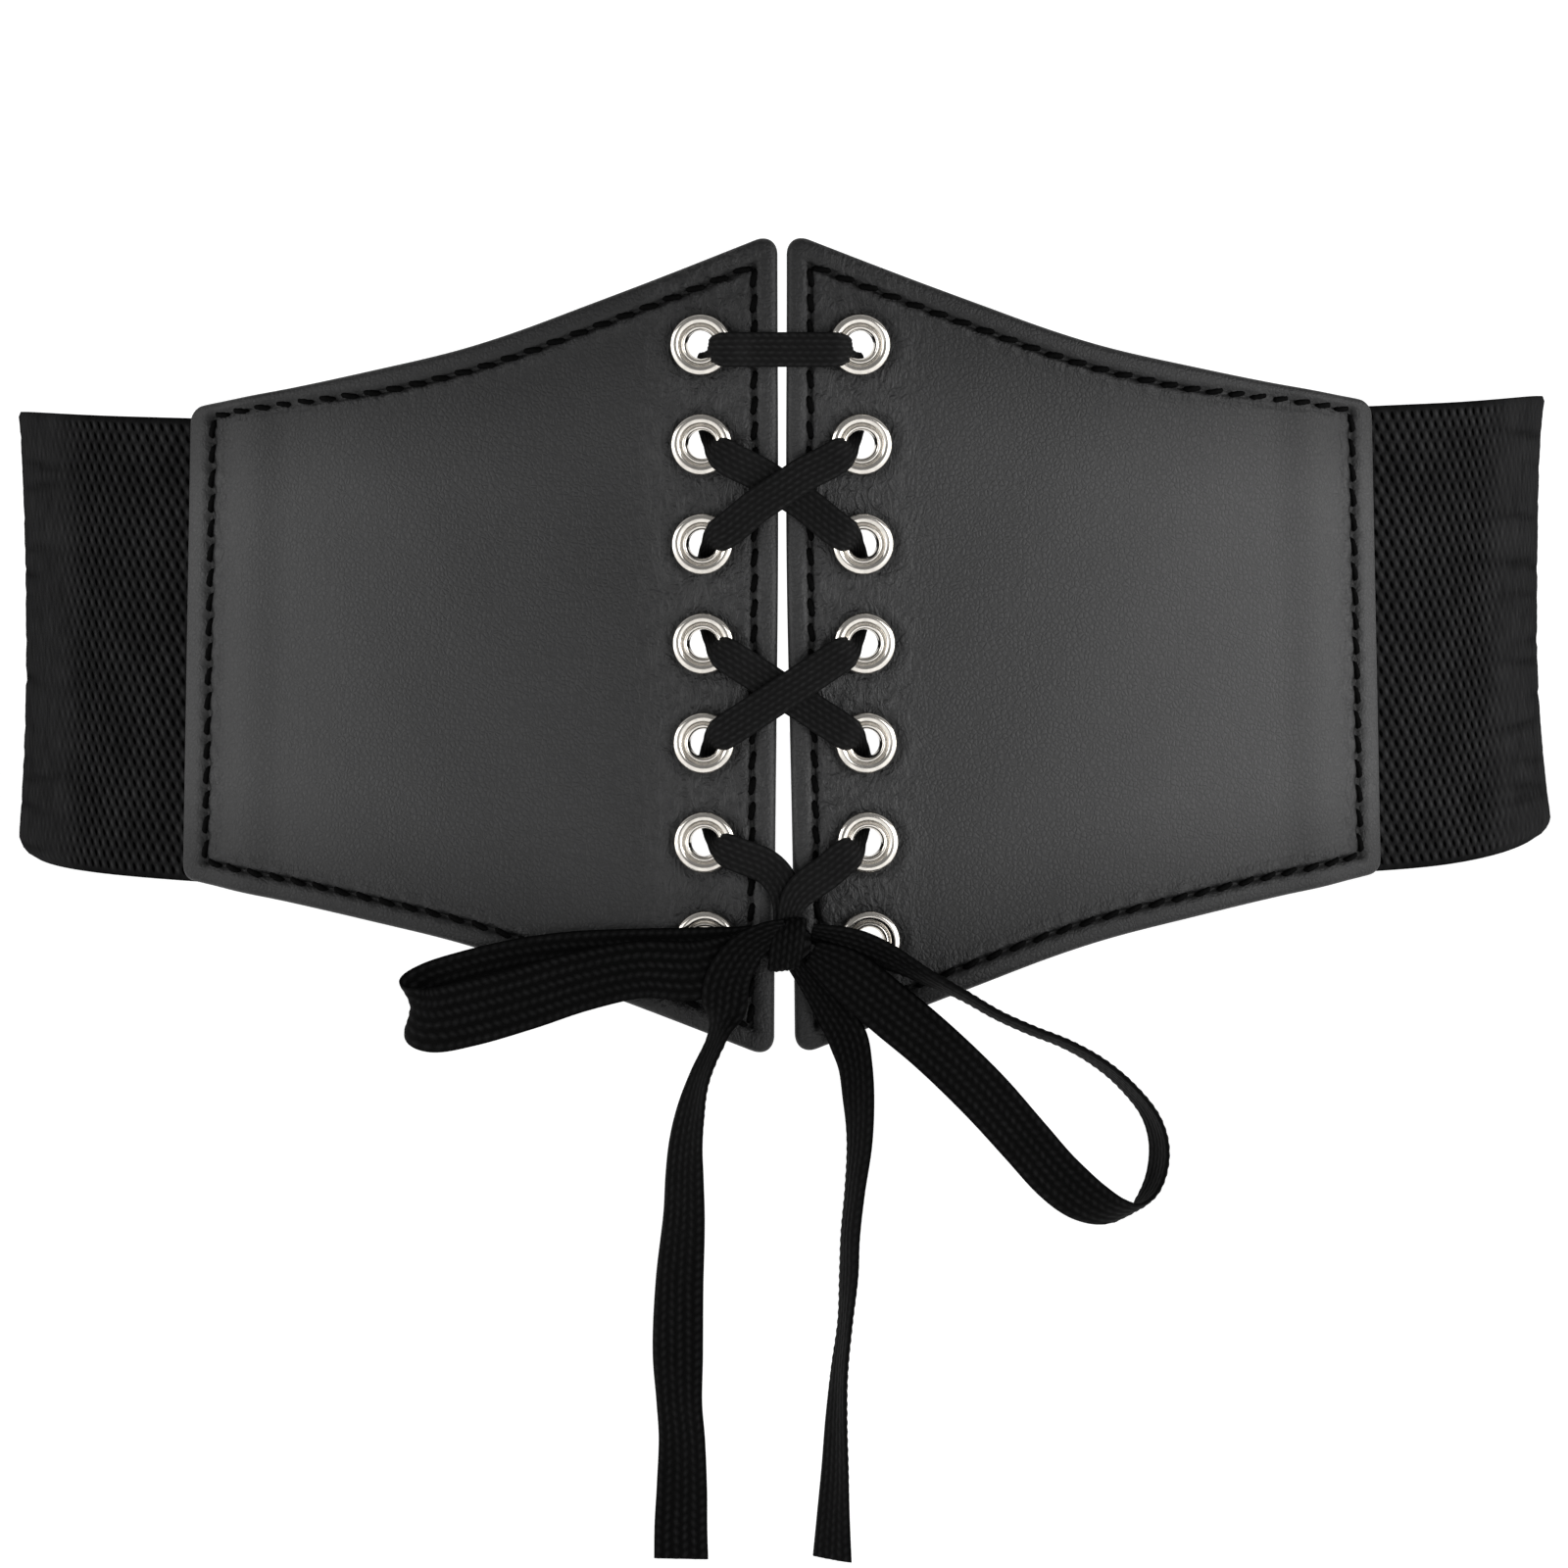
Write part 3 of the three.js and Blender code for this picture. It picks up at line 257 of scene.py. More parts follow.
def blend(tree, factor, first, second, mode="MIX"):
    made = add(tree, "ShaderNodeMix", {0: factor}, data_type="RGBA", blend_type=mode)
    for key, value in ((6, first), (7, second)):
        if isinstance(value, bpy.types.NodeSocket):
            tree.links.new(value, made.inputs[key])
        else:
            made.inputs[key].default_value = (*value, 1)
    return made.outputs[2]


def calc(tree, operation, first, second=0.0):
    return add(tree, "ShaderNodeMath", {0: first, 1: second}, operation=operation).outputs[0]


def reading(tree, name):
    return add(tree, "ShaderNodeAttribute", attribute_name=name).outputs["Fac"]


def noise(tree, vector, scale, detail=3.0, roughness=0.55):
    return add(tree, "ShaderNodeTexNoise", {"Vector": vector, "Scale": scale, "Detail": detail,
                                            "Roughness": roughness}).outputs[0]


def bump(tree, height, strength, distance, under=None):
    inputs = {"Strength": strength, "Distance": distance, "Height": height}
    if under is not None:
        inputs["Normal"] = under
    return add(tree, "ShaderNodeBump", inputs).outputs[0]


def leather_look(name, dark, light, shine):
    """Faux leather: fine pebbles, creases where the piece is worked, painted shade in the stitch groove and round the
    eyelets, and painted shade with a weaker reflection towards the top and bottom edges.
    """
    look, tree, shader = new_look(name, **{"IOR": 1.5})
    where = add(tree, "ShaderNodeTexCoord").outputs["Object"]
    cells = add(tree, "ShaderNodeTexVoronoi", {"Vector": where, "Scale": 1250.0, "Randomness": 1.0},
                feature="DISTANCE_TO_EDGE").outputs[0]
    pebbles = span(tree, cells, 0.0, 0.28, 0.0, 1.0)
    grain = noise(tree, where, 2600.0, 4.0)
    patches = noise(tree, where, 26.0, 4.0, 0.6)
    folds = add(tree, "ShaderNodeTexNoise", {"Vector": add(tree, "ShaderNodeMapping", {
        "Vector": where, "Rotation": (0.0, 0.7, 0.0), "Scale": (1.0, 1.0, 0.5)}).outputs[0],
        "Scale": 520.0, "Detail": 4.0, "Distortion": 2.2}).outputs[0]
    creased = calc(tree, "MULTIPLY", span(tree, folds, 0.42, 0.62, 0.0, 1.0), reading(tree, "worked"))
    colour = blend(tree, span(tree, patches, 0.35, 0.68, 0.0, 1.0), dark, light)
    colour = blend(tree, span(tree, pebbles, 0.0, 1.0, 0.55, 0.0), colour, tuple(0.45 * c for c in dark))
    # Painted shade: where this attribute is low, towards a panel's top and bottom edges, the colour is darkened and
    # the reflection weakened.
    painted_light_share = reading(tree, "painted_light_share")
    colour = blend(tree, span(tree, painted_light_share, 0.0, 1.0, 0.4, 0.0), colour, tuple(0.1 * c for c in dark))
    # Painted shade: near black where the groove attribute is high, in the stitch groove, at the needle holes and in a
    # ring round each eyelet.
    colour = blend(tree, reading(tree, "groove"), colour, (0.002, 0.002, 0.002))
    tree.links.new(span(tree, painted_light_share, 0.0, 1.0, 0.2, 0.3), shader.inputs["Specular IOR Level"])
    tree.links.new(colour, shader.inputs["Base Color"])
    rough = calc(tree, "ADD", span(tree, grain, 0.3, 0.7, shine - 0.05, shine + 0.07),
                 span(tree, patches, 0.3, 0.7, -0.03, 0.05))
    tree.links.new(rough, shader.inputs["Roughness"])
    relief = bump(tree, pebbles, 0.75, 0.00006)
    relief = bump(tree, grain, 0.4, 0.00004, relief)
    relief = bump(tree, creased, 1.0, 0.00036, relief)
    tree.links.new(relief, shader.inputs["Normal"])
    return look


def cloth_look(name, dark, light, rough, fibre_scale, sheen, gloss):
    """Yarn: painted shade between its ridges and a lighter colour on them, both following the relief attribute, with
    fine fibres.
    """
    look, tree, shader = new_look(name, **{"Specular IOR Level": gloss, "Sheen Weight": sheen,
                                           "Sheen Roughness": 0.4, "Sheen Tint": (0.5, 0.5, 0.52, 1)})
    where = add(tree, "ShaderNodeTexCoord").outputs["UV"]
    fibres = noise(tree, add(tree, "ShaderNodeMapping", {"Vector": where, "Scale": (1.0, 0.22, 1.0)}).outputs[0],
                   fibre_scale, 3.0)
    broad = noise(tree, where, 90.0, 3.0)
    # Painted shade: colour from the relief attribute, dark in the hollows, light on the ridges.
    colour = ramp(tree, reading(tree, "relief"), 0.2, 0.9, dark, light)
    colour = blend(tree, span(tree, fibres, 0.3, 0.7, 0.45, 0.0), colour, dark)
    colour = blend(tree, span(tree, broad, 0.35, 0.7, 0.25, 0.0), colour, dark)
    tree.links.new(colour, shader.inputs["Base Color"])
    tree.links.new(span(tree, fibres, 0.3, 0.7, rough + 0.06, rough - 0.06), shader.inputs["Roughness"])
    tree.links.new(bump(tree, fibres, 0.5, 0.00006), shader.inputs["Normal"])
    return look


def metal_look(name, colour, rough):
    """Satin nickel plate: slightly cloudy with darker patches, and fine turning marks."""
    look, tree, shader = new_look(name, **{"Metallic": 1.0})
    where = add(tree, "ShaderNodeTexCoord").outputs["Object"]
    cloud = noise(tree, where, 700.0, 3.0)
    marks = noise(tree, where, 5200.0, 2.0)
    tint = blend(tree, span(tree, cloud, 0.35, 0.7, 0.0, 1.0), colour, tuple(0.8 * c for c in colour))
    tree.links.new(tint, shader.inputs["Base Color"])
    tree.links.new(span(tree, cloud, 0.3, 0.7, rough - 0.05, rough + 0.09), shader.inputs["Roughness"])
    tree.links.new(bump(tree, marks, 0.06, 0.00002), shader.inputs["Normal"])
    return look


LEATHER = leather_look("charcoal_leather", (0.0085, 0.0085, 0.0088), (0.013, 0.013, 0.0135), 0.5)
LINING = leather_look("lining", (0.012, 0.012, 0.012), (0.016, 0.016, 0.016), 0.72)
WEBBING = cloth_look("woven_elastic", (0.0004, 0.0004, 0.0004), (0.029, 0.029, 0.0295), 0.6, 900.0, 0.0, 0.0)
BRAID = cloth_look("flat_braid", (0.0006, 0.0006, 0.0006), (0.0075, 0.0075, 0.0077), 0.7, 1400.0, 0.0, 0.03)
# The same braid in lighter colours for the laced stretch: painted light, not a different braid.
PAINTED_LIGHT_BRAID = cloth_look("flat_braid_painted_light", (0.0035, 0.0035, 0.0035), (0.0122, 0.0122, 0.0124), 0.7, 1400.0, 0.0, 0.04)
THREAD = cloth_look("thread", (0.0003, 0.0003, 0.0003), (0.0012, 0.0012, 0.0012), 0.7, 2200.0, 0.0, 0.02)
NICKEL = metal_look("nickel", (0.62, 0.59, 0.545), 0.16)


# Camera

def set_camera():
    camera = bpy.data.objects.new("camera", bpy.data.cameras.new("camera"))
    camera.data.lens, camera.data.sensor_width = CAMERA_LENS, 36
    camera.data.clip_end = 20
    camera.location = Vector(CAMERA_AT) * 0.001
    camera.rotation_euler = (Vector(CAMERA_AIM) - Vector(CAMERA_AT)).to_track_quat("-Z", "Y").to_euler()
    bpy.context.scene.collection.objects.link(camera)
    bpy.context.scene.camera = camera


set_camera()


# Lace

def catmull_rom(points, extra, per_span=16):
    """Centripetal curve through points, with extra columns carried along it."""
    data = np.concatenate([points, extra], 1)
    data = np.concatenate([[2 * data[0] - data[1]], data, [2 * data[-1] - data[-2]]])
    gaps = np.sqrt(np.linalg.norm(np.diff(data[:, :3], axis=0), axis=1))[:, None]
    weight = np.linspace(0, 1, per_span, endpoint=False)[:, None]
    runs = []
    for k in range(1, len(data) - 2):
        a, b, c, d = data[k - 1:k + 3]
        g0, g1, g2 = gaps[k - 1:k + 2]
        leaving = ((b - a) / g0 - (c - a) / (g0 + g1) + (c - b) / g1) * g1
        coming = ((c - b) / g1 - (d - b) / (g1 + g2) + (d - c) / g2) * g1
        runs.append(b + weight * leaving + weight**2 * (3 * (c - b) - 2 * leaving - coming)
                    + weight**3 * (2 * (b - c) + leaving + coming))
    return np.concatenate([*runs, data[-2:-1]])


def width_direction(rows):
    """Where a ribbon's width points: face turns it in the wall, tilt lifts it outward."""
    _, out, side = wall_at(rows[:, 0])
    face, tilt = np.radians(rows[:, 4:5]), np.radians(rows[:, 5:6])
    upright = np.array([[0.0, 0.0, 1.0]])
    return (side * np.cos(tilt) * np.cos(face) + upright * np.cos(tilt) * np.sin(face) + out * np.sin(tilt))


RIBS = 6
BRAID_PITCH = 1.5
BRAID_RELIEF = 0.17
LACE_STEP = 0.34
SECTION = 4 * RIBS + 1


def braid_relief(across, reached_mm):
    """Height of the plaited yarns, 0 to 1: lengthwise ribs crossed by slanting stitches."""
    lane = (across + 1) / 2 * RIBS
    rib = 0.5 - 0.5 * np.cos(2 * math.pi * lane)
    slant = np.where(np.floor(np.clip(lane, 0, RIBS - 0.01)) % 2 > 0, 1, -1) * (lane - np.floor(lane)) * 0.55
    stitch = 0.5 + 0.5 * np.cos(2 * math.pi * (reached_mm / BRAID_PITCH + slant))
    return rib * (0.3 + 0.7 * stitch)


def ribbon(rows, width, step=LACE_STEP, cup=0.0, seed=0):
    """Flat braid along rows of (along, up, out, share, face, tilt), and its middle line."""
    rows = np.asarray(rows, float)
    places = place(rows[:, 0], rows[:, 1], rows[:, 2])
    dense = catmull_rom(places, np.concatenate([width_direction(rows), rows[:, 3:4] * width], 1))
    travelled = np.concatenate([[0], np.cumsum(np.linalg.norm(np.diff(dense[:, :3], axis=0), axis=1))])
    at = np.linspace(0, travelled[-1], int(travelled[-1] / step) + 1)
    centre, wide, wideness = (np.stack([np.interp(at, travelled, dense[:, k]) for k in columns], -1)
                              for columns in ((0, 1, 2), (3, 4, 5), (6,)))
    tangent = np.gradient(centre, at, axis=0)
    tangent /= np.linalg.norm(tangent, axis=1, keepdims=True)
    wide -= tangent * (wide * tangent).sum(1, keepdims=True)
    wide /= np.linalg.norm(wide, axis=1, keepdims=True)
    thick = np.cross(tangent, wide)
    across = np.linspace(-1, 1, SECTION)
    body = LACE_THICKNESS / 2 * (1 - np.abs(across)**5 * 0.72)
    sway = np.sin(at / 11 + 1.7 * seed)[:, None]
    bend = cup * wideness * (across**2 - 0.4) * sway
    height = braid_relief(across[None], at[:, None])
    other = braid_relief(-across[None], at[:, None] + BRAID_PITCH / 2)
    top = body + BRAID_RELIEF * (height - 0.6) + bend
    under = -body - BRAID_RELIEF * (other - 0.6) + bend
    reach = wideness / 2 * across
    point = lambda lift: centre[:, None] + wide[:, None] * reach[..., None] + thick[:, None] * lift[..., None]
    points = np.concatenate([point(top), point(under)[:, ::-1]], 1)
    # The relief values paint shade in the braid's hollows and a lighter colour on its ridges.
    relief = np.concatenate([height, other[:, ::-1]], 1)
    uv = np.stack([np.concatenate([reach, 20 + reach[:, ::-1]], 1), np.repeat(at[:, None], 2 * SECTION, 1)], -1)
    faces = tube_faces(len(at), 2 * SECTION)
    flat = points.reshape(-1, 3)
    return flat, facing_out(flat, faces), {"relief": relief}, uv.reshape(-1, 2) * 0.001, centre


def eyelet_place(side, row):
    share = (row - 1) / (EYELET_ROWS - 1)
    top, bottom = EYELET_ALONG[side]
    up = (PANEL_INNER_HALF - EYELET_INSET["top"]) * (1 - share) + (EYELET_INSET["bottom"] - PANEL_INNER_HALF) * share
    return np.array([SIGN[side] * (top * (1 - share) + bottom * share), up])


LACE_OVER_RIM = EYELET_CREST + LACE_GAP + LACE_THICKNESS / 2
LACE_UNDER_RIM = EYELET_FOOT - LACE_GAP - LACE_THICKNESS / 2
LACE_OVER_BORDER = PANEL_FRONT + BORDER_RISE + LACE_GAP + LACE_THICKNESS / 2
LACE_CROSSED_OVER = LACE_OVER_BORDER + LACE_THICKNESS + LACE_GAP

# The eyelets in the order in which the lace passes them, from the bow and back to it.
LACE_ORDER = [("left", 6), ("left", 5), ("right", 4), ("right", 3), ("left", 2), ("left", 1),
              ("right", 1), ("right", 2), ("left", 3), ("left", 4), ("right", 5), ("right", 6)]
LACE_ON_TOP = [("left", 5), ("right", 2)]

# Rows of (along, up, out, share of the width, face, tilt), up from the knot's middle and
# out from the eyelets' crests.
LACE_TO_KNOT_LEFT = [
    (0.6, 2.6, 0.5, 0.74, 0, 0), (0.7, 6.2, 0.3, 0.82, 2, 0), (0.1, 9.2, 0.2, 0.95, 24, 0),
    (-2.2, 12.1, 0.1, 1, 50, 0),
]
LACE_TO_KNOT_RIGHT = [
    (7, 11.4, 0.9, 1, 122, 0), (4.3, 9.5, 1.3, 1, 130, 0), (2.2, 7.3, 1.6, 0.85, 155, 0),
    (1.2, 4.8, 1.8, 0.66, 176, 0), (1, 2.6, 1.9, 0.6, 180, 0),
]
LOOP_LEFT = [
    (-4.1, 0.8, 1.2, 0.5, 90, 0), (-7.7, -0.8, 0.9, 0.78, 90, 0), (-15.7, -2.1, 0.8, 1, 90, 0),
    (-25, -2.4, 0.6, 1, 90, 0), (-34.8, -3, 0.6, 1, 90, 0), (-43.5, -4.4, 0.8, 1, 90, 0),
    (-51, -6.3, 1, 1, 90, 0), (-56.5, -8.1, 1.4, 1, 90, 0), (-58.8, -9.6, 2.3, 1.02, 90, 0),
    (-59.4, -11, 3.6, 1.06, 90, 0), (-58.1, -12.4, 4.9, 1.12, 90, 0), (-55.4, -13, 5.6, 1.18, 90, 0),
    (-49.5, -11.8, 5.5, 1.2, 90, 0), (-40.6, -9.2, 4.9, 1.16, 90, 0), (-31.6, -6.3, 4.1, 1.1, 90, 0),
    (-22.1, -4.3, 3.9, 1.05, 88, 0), (-13.3, -4.4, 3.6, 1.08, 80, 0), (-7, -1.9, 2.9, 0.85, 78, 0),
    (-4.1, 0.8, 2.8, 0.5, 90, 0),
]
LOOP_RIGHT = [
    (4.6, -1.5, 3, 0.5, 52, 8), (9.6, -4.6, 3.4, 0.9, 50, 4), (16.4, -10.4, 3.8, 1, 48, 0),
    (23.7, -16.8, 4.2, 1, 46, 0), (31.6, -24.8, 4.6, 1, 45, 2), (38.2, -32.5, 5, 0.97, 46, 8),
    (43.4, -38.5, 5.2, 0.97, 51, 18), (48.3, -42.6, 5.2, 1, 62, 38), (52.4, -44.4, 5.2, 1, 80, 56),
    (55.8, -44.1, 5.2, 1, 100, 74), (58.4, -41.5, 5.2, 1, 120, 86), (59.9, -37.7, 5.2, 1, 120, 88),
    (60.1, -33.2, 5.2, 1, 120, 88), (58.6, -28.7, 5.2, 1, 120, 86), (54.4, -23.5, 5.2, 1, 120, 84),
    (49.8, -19.7, 5.2, 1, 120, 82), (44.6, -16.7, 5.2, 1, 120, 82), (38.9, -14.3, 5.2, 1, 120, 82),
    (33.7, -11.8, 5, 1, 120, 82), (28.7, -8.8, 4.8, 1, 120, 77), (22.9, -5.7, 4.5, 1, 120, 62),
    (17, -2.4, 4.1, 0.95, 116, 45), (11, 0, 3.6, 0.82, 108, 36), (4.6, 1.8, 3.1, 0.5, 100, 40),
]
TAIL_LEFT = [
    (0.6, 2.4, 4.2, 0.38, -78, 0), (-2, 1.5, 4.7, 0.5, -70, 0), (-5.2, -0.5, 4.9, 0.63, -54, 0),
    (-7.6, -3.8, 4.9, 0.76, -30, 0), (-8.8, -7.1, 4.7, 0.84, -8, 4), (-9, -10.6, 4.5, 0.9, -10, 24),
    (-9.5, -13.2, 4.4, 0.9, -14, 56), (-10.4, -16.1, 4.2, 0.9, -20, 67), (-12.8, -22, 3.6, 0.95, -18, 65),
    (-14.3, -28, 2.8, 1, -8, 55), (-15.2, -33.5, 2.2, 1, -3, 47), (-15.5, -38.5, 2, 1, -3, 41),
    (-15.7, -44.8, 1.8, 1, -3, 36), (-16.5, -56, 1.6, 1, -3, 24), (-16.7, -67.2, 1.6, 1, 0, 18),
    (-16.4, -75.2, 1.6, 1, 2, 28), (-15.9, -81.6, 1.6, 1, 2, 27), (-15.9, -89.6, 1.6, 1, 0, 18),
    (-16.1, -96, 1.6, 1, 0, 10), (-16.1, -101.2, 1.6, 1, 0, 4),
]
TAIL_RIGHT = [
    (1.6, -2.4, 1.8, 0.35, 30, 8), (5, -6.9, 1.1, 0.5, 32, 10), (8.2, -11.6, 0.8, 0.65, 28, 12),
    (10.4, -15.4, 1, 0.76, 20, 22), (11.7, -20, 1.4, 0.85, 10, 46), (12.2, -26.4, 1.6, 1, 2, 60),
    (12.2, -32.8, 1.6, 1, 0, 67), (11.4, -40.8, 1.6, 1, -5, 74), (10.7, -48, 1.6, 1, -3, 75),
    (10.5, -54.4, 1.6, 1, -3, 75), (10, -62.4, 1.6, 1, -5, 80), (9.2, -70.4, 1.6, 1, -5, 77),
    (8.8, -78.4, 1.6, 1, -3, 71), (8.6, -86.4, 1.6, 1, -2, 64), (8.2, -94.6, 1.6, 1, -2, 56),
    (7.9, -101.2, 1.6, 1, -2, 48),
]


def route(rows):
    return [(along, KNOT_UP + up, EYELET_CREST + out, *rest) for along, up, out, *rest in rows]


def nearest_turn(face, previous):
    return face + 180 * round((previous - face) / 180)


def laced_rows():
    """Rows of the whole laced stretch, in and out of the six upper pairs of eyelets."""
    first, last = route(LACE_TO_KNOT_LEFT), route(LACE_TO_KNOT_RIGHT)
    holes = [eyelet_place(side, row) - (SIGN[side] * LACE_INWARD[row % 2], TOP_LACE_DROP * (row == 1))
             for side, row in LACE_ORDER]
    stops = [np.array(first[-1][:2]), *holes, np.array(last[0][:2])]
    headings = [b - a for a, b in zip(stops, stops[1:])]
    faces = [math.degrees(math.atan2(h[1], h[0])) + 90 for h in headings]
    passing = [
        (0.92, LACE_OVER_RIM + 0.1, 1, 1), (0.5, LACE_OVER_RIM + 0.05, 0.9, 1), (0.2, PANEL_FRONT + 0.4, 0.4, 1),
        (0.18, (PANEL_FRONT + PANEL_BACK) / 2 - 0.2, 0, 0.5), (0.2, PANEL_BACK - 0.2, 0, 0),
        (0.5, LACE_UNDER_RIM - 0.05, 0.45, 0), (0.92, LACE_UNDER_RIM - 0.05, 1, 0),
    ]
    rows = list(first)
    for index, hole in enumerate(holes):
        inward = index % 2 == 0
        before, after = headings[index], headings[index + 1]
        backwards, onwards = -before / np.linalg.norm(before), after / np.linalg.norm(after)
        front, back = (backwards, onwards) if inward else (onwards, backwards)
        front_face, back_face = (faces[index], faces[index + 1]) if inward else (faces[index + 1], faces[index])
        back_face = nearest_turn(back_face, front_face)
        for reach, out, spread, arriving in passing if inward else passing[::-1]:
            toward = (back * (1 - arriving) + front * arriving) * reach * EYELET_RADIUS
            width = LACE_BORE_WIDTH * (1 - spread) + LACE_LACED_WIDTH * spread
            face = back_face * (1 - arriving) + front_face * arriving
            rows.append((*(hole + toward), out, width / LACE_LACED_WIDTH, nearest_turn(face, rows[-1][4]), 0))
        if index + 1 == len(holes):
            break
        level = LACE_CROSSED_OVER if LACE_ORDER[index] in LACE_ON_TOP else LACE_OVER_BORDER
        upper = {LACE_ORDER[index][1], LACE_ORDER[index + 1][1]} == {2, 3}
        for offset in [0] if inward else [-LACE_WIDTH / 2, 0, LACE_WIDTH / 2]:
            middle = hole + after * (0.5 + offset / np.linalg.norm(after)) + (0, UPPER_CROSSING_RISE * upper)
            rows.append((*middle, LACE_UNDER_RIM if inward else level, 1, nearest_turn(faces[index + 1], rows[-1][4]), 0))
    return rows + [(*row[:4], nearest_turn(row[4], rows[-1][4]), 0) for row in last]


def knot_mesh():
    """Pinched bundle under one slanting turn of braid."""
    turn = np.linspace(math.pi, 3 * math.pi, 25)
    wrap_rows = np.stack([KNOT_ALONG + 0.5 * np.sin(turn), KNOT_UP + 3.8 * np.sin(turn) - 0.2,
                          KNOT_OUT + 2.7 * np.cos(turn), np.full_like(turn, 0.6),
                          np.full_like(turn, 8.0), 0 * turn], -1)
    wrap = ribbon(wrap_rows, LACE_WIDTH, 0.25, 0.05)
    stations, sides = np.linspace(-1, 1, 25), 64
    angle = np.linspace(0, 2 * math.pi, sides, endpoint=False)
    spread = (1 - np.abs(stations[:, None])**2.6 * 0.55) * (1 + 0.06 * np.cos(7 * angle + 2 * stations[:, None]))
    points = place(KNOT_ALONG + 3.7 * stations[:, None] + 0 * angle,
                   KNOT_UP + 3.3 * spread * np.cos(angle), KNOT_OUT + 2.2 * spread * np.sin(angle))
    flat = points.reshape(-1, 3)
    # The relief values paint shade in the hollows between the bundle's spiral ridges.
    core = flat, facing_out(flat, tube_faces(len(stations), sides)), {
        "relief": 0.5 + 0.5 * np.cos(7 * angle + 2 * stations[:, None])}
    points, faces, values = joined([wrap[:3], core])
    return points, faces, values, np.concatenate([wrap[3], flat[:, [0, 2]] * 0.001])


def make_cord(name, node, rows, seed):
    points, faces, values, uv, centre = ribbon(route(rows), LACE_WIDTH, LACE_STEP, 0.05, seed)
    made = piece(name, points, faces, BRAID, "lace_braid", values, uv)
    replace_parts(made, node)
    return made


knot = piece("knot", *knot_mesh()[:2], BRAID, "lace_braid", *knot_mesh()[2:])
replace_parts(knot, "bow_knot")
make_cord("loop_left", "bow_loop_left", LOOP_LEFT, 1)
make_cord("loop_right", "bow_loop_right", LOOP_RIGHT, 2)
make_cord("tail_left", "lace_tail_left", TAIL_LEFT, 3)
make_cord("tail_right", "lace_tail_right", TAIL_RIGHT, 4)
laced = ribbon(laced_rows(), LACE_LACED_WIDTH)
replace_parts(piece("laced_lace", laced[0], laced[1], PAINTED_LIGHT_BRAID, "lace_braid", laced[2], laced[3]), "lace")


# Panels

# How far the panel's half height has dropped from the inner edge to the outer edge.
PANEL_TAPER = [(0, 0), (0.18, 0.255), (0.31, 0.43), (0.43, 0.585), (0.53, 0.69), (0.66, 0.79), (0.8, 0.885), (1, 1)]
panel_drop = course(PANEL_TAPER, 1)


def panel_half(along):
    return PANEL_INNER_HALF - (PANEL_INNER_HALF - PANEL_OUTER_HALF) * panel_drop(along / PANEL_REACH)


def panel_slope(along):
    return panel_half(along + 0.5) - panel_half(along - 0.5)


def inner_edge(side, up):
    lowered = (PANEL_INNER_HALF - up) / (2 * PANEL_INNER_HALF)
    pulled = PANEL_PINCH[side] * np.exp(-((up - PINCH_UP) / PINCH_SPAN)**2)
    return GAP_HALF_TOP * (1 - lowered) + GAP_HALF_BOTTOM[side] * lowered - pulled


def outer_edge(side, up):
    return PANEL_REACH + PANEL_EXTRA[side] - PANEL_SPLAY[side] * up / PANEL_OUTER_HALF


# Grid lines close to an edge, as distances from it.
NEAR_EDGE = np.array([0, 0.12, 0.34, 0.65, 1.05, 1.6, 2.3, 3, 3.5, 3.85, 4.1, 4.3, 4.55, 4.9, 5.5, 6.3])
CORNER_INNER, CORNER_OUTER = 3.6, 2.8
GRID_ACROSS, GRID_UP = 104, 120
HOLE_RADIUS = 3.3


STITCH_PITCH, STITCH_LENGTH, STITCH_RADIUS, STITCH_SLANT = 4.15, 3.5, 0.54, 17


def stitch_line(side):
    """Points (along, up) of a panel's stitch line, all round at the border's width."""
    inset, outer_inset = BORDER_WIDTH, OUTER_BORDER[side]
    ups = lambda a: panel_half(a) - inset * np.hypot(1, panel_slope(a))
    across = np.linspace(inner_edge(side, 60) + inset, outer_edge(side, 36) - outer_inset, 240)
    across_low = np.linspace(inner_edge(side, -60) + inset, outer_edge(side, -36) - outer_inset, 240)
    heights = lambda low, high: np.linspace(low, high, 120)
    risen = panel_half(across) - inset / narrowing(across) * np.hypot(1, panel_slope(across))
    top = np.stack([across, risen], -1)
    outer_up = heights(risen[-1], -ups(across_low[-1]))
    outer = np.stack([outer_edge(side, outer_up) - outer_inset, outer_up], -1)
    bottom = np.stack([across_low[::-1], -ups(across_low[::-1])], -1)
    inner_up = heights(-ups(across_low[0]), ups(across[0]))
    inner = np.stack([inner_edge(side, inner_up) + inset, inner_up], -1)
    return [top, outer, bottom, inner]


def run_length(line):
    return np.concatenate([[0], np.cumsum(np.linalg.norm(np.diff(line, axis=0), axis=1))])


def stitch_count(travelled):
    return max(1, round(travelled[-1] / STITCH_PITCH))


def rounded_pair(a, b, radius):
    """Distances from two edges moved so that a square corner becomes a round one."""
    u, v = np.clip(1 - a / radius, 0, 1), np.clip(1 - b / radius, 0, 1)
    round_u, round_v = u * np.sqrt(1 - v * v / 2), v * np.sqrt(1 - u * u / 2)
    near = (u > 0) & (v > 0)
    return (np.where(near, radius * (1 - round_u), a), np.where(near, radius * (1 - round_v), b),
            np.where(near, radius * (1 - np.hypot(round_u, round_v)), np.minimum(a, b)))


def narrowing(along):
    """How much closer the stitches come to the top edge, toward the outer corner."""
    return 1 + BORDER_NARROWING * smooth((along - 64) / 28)


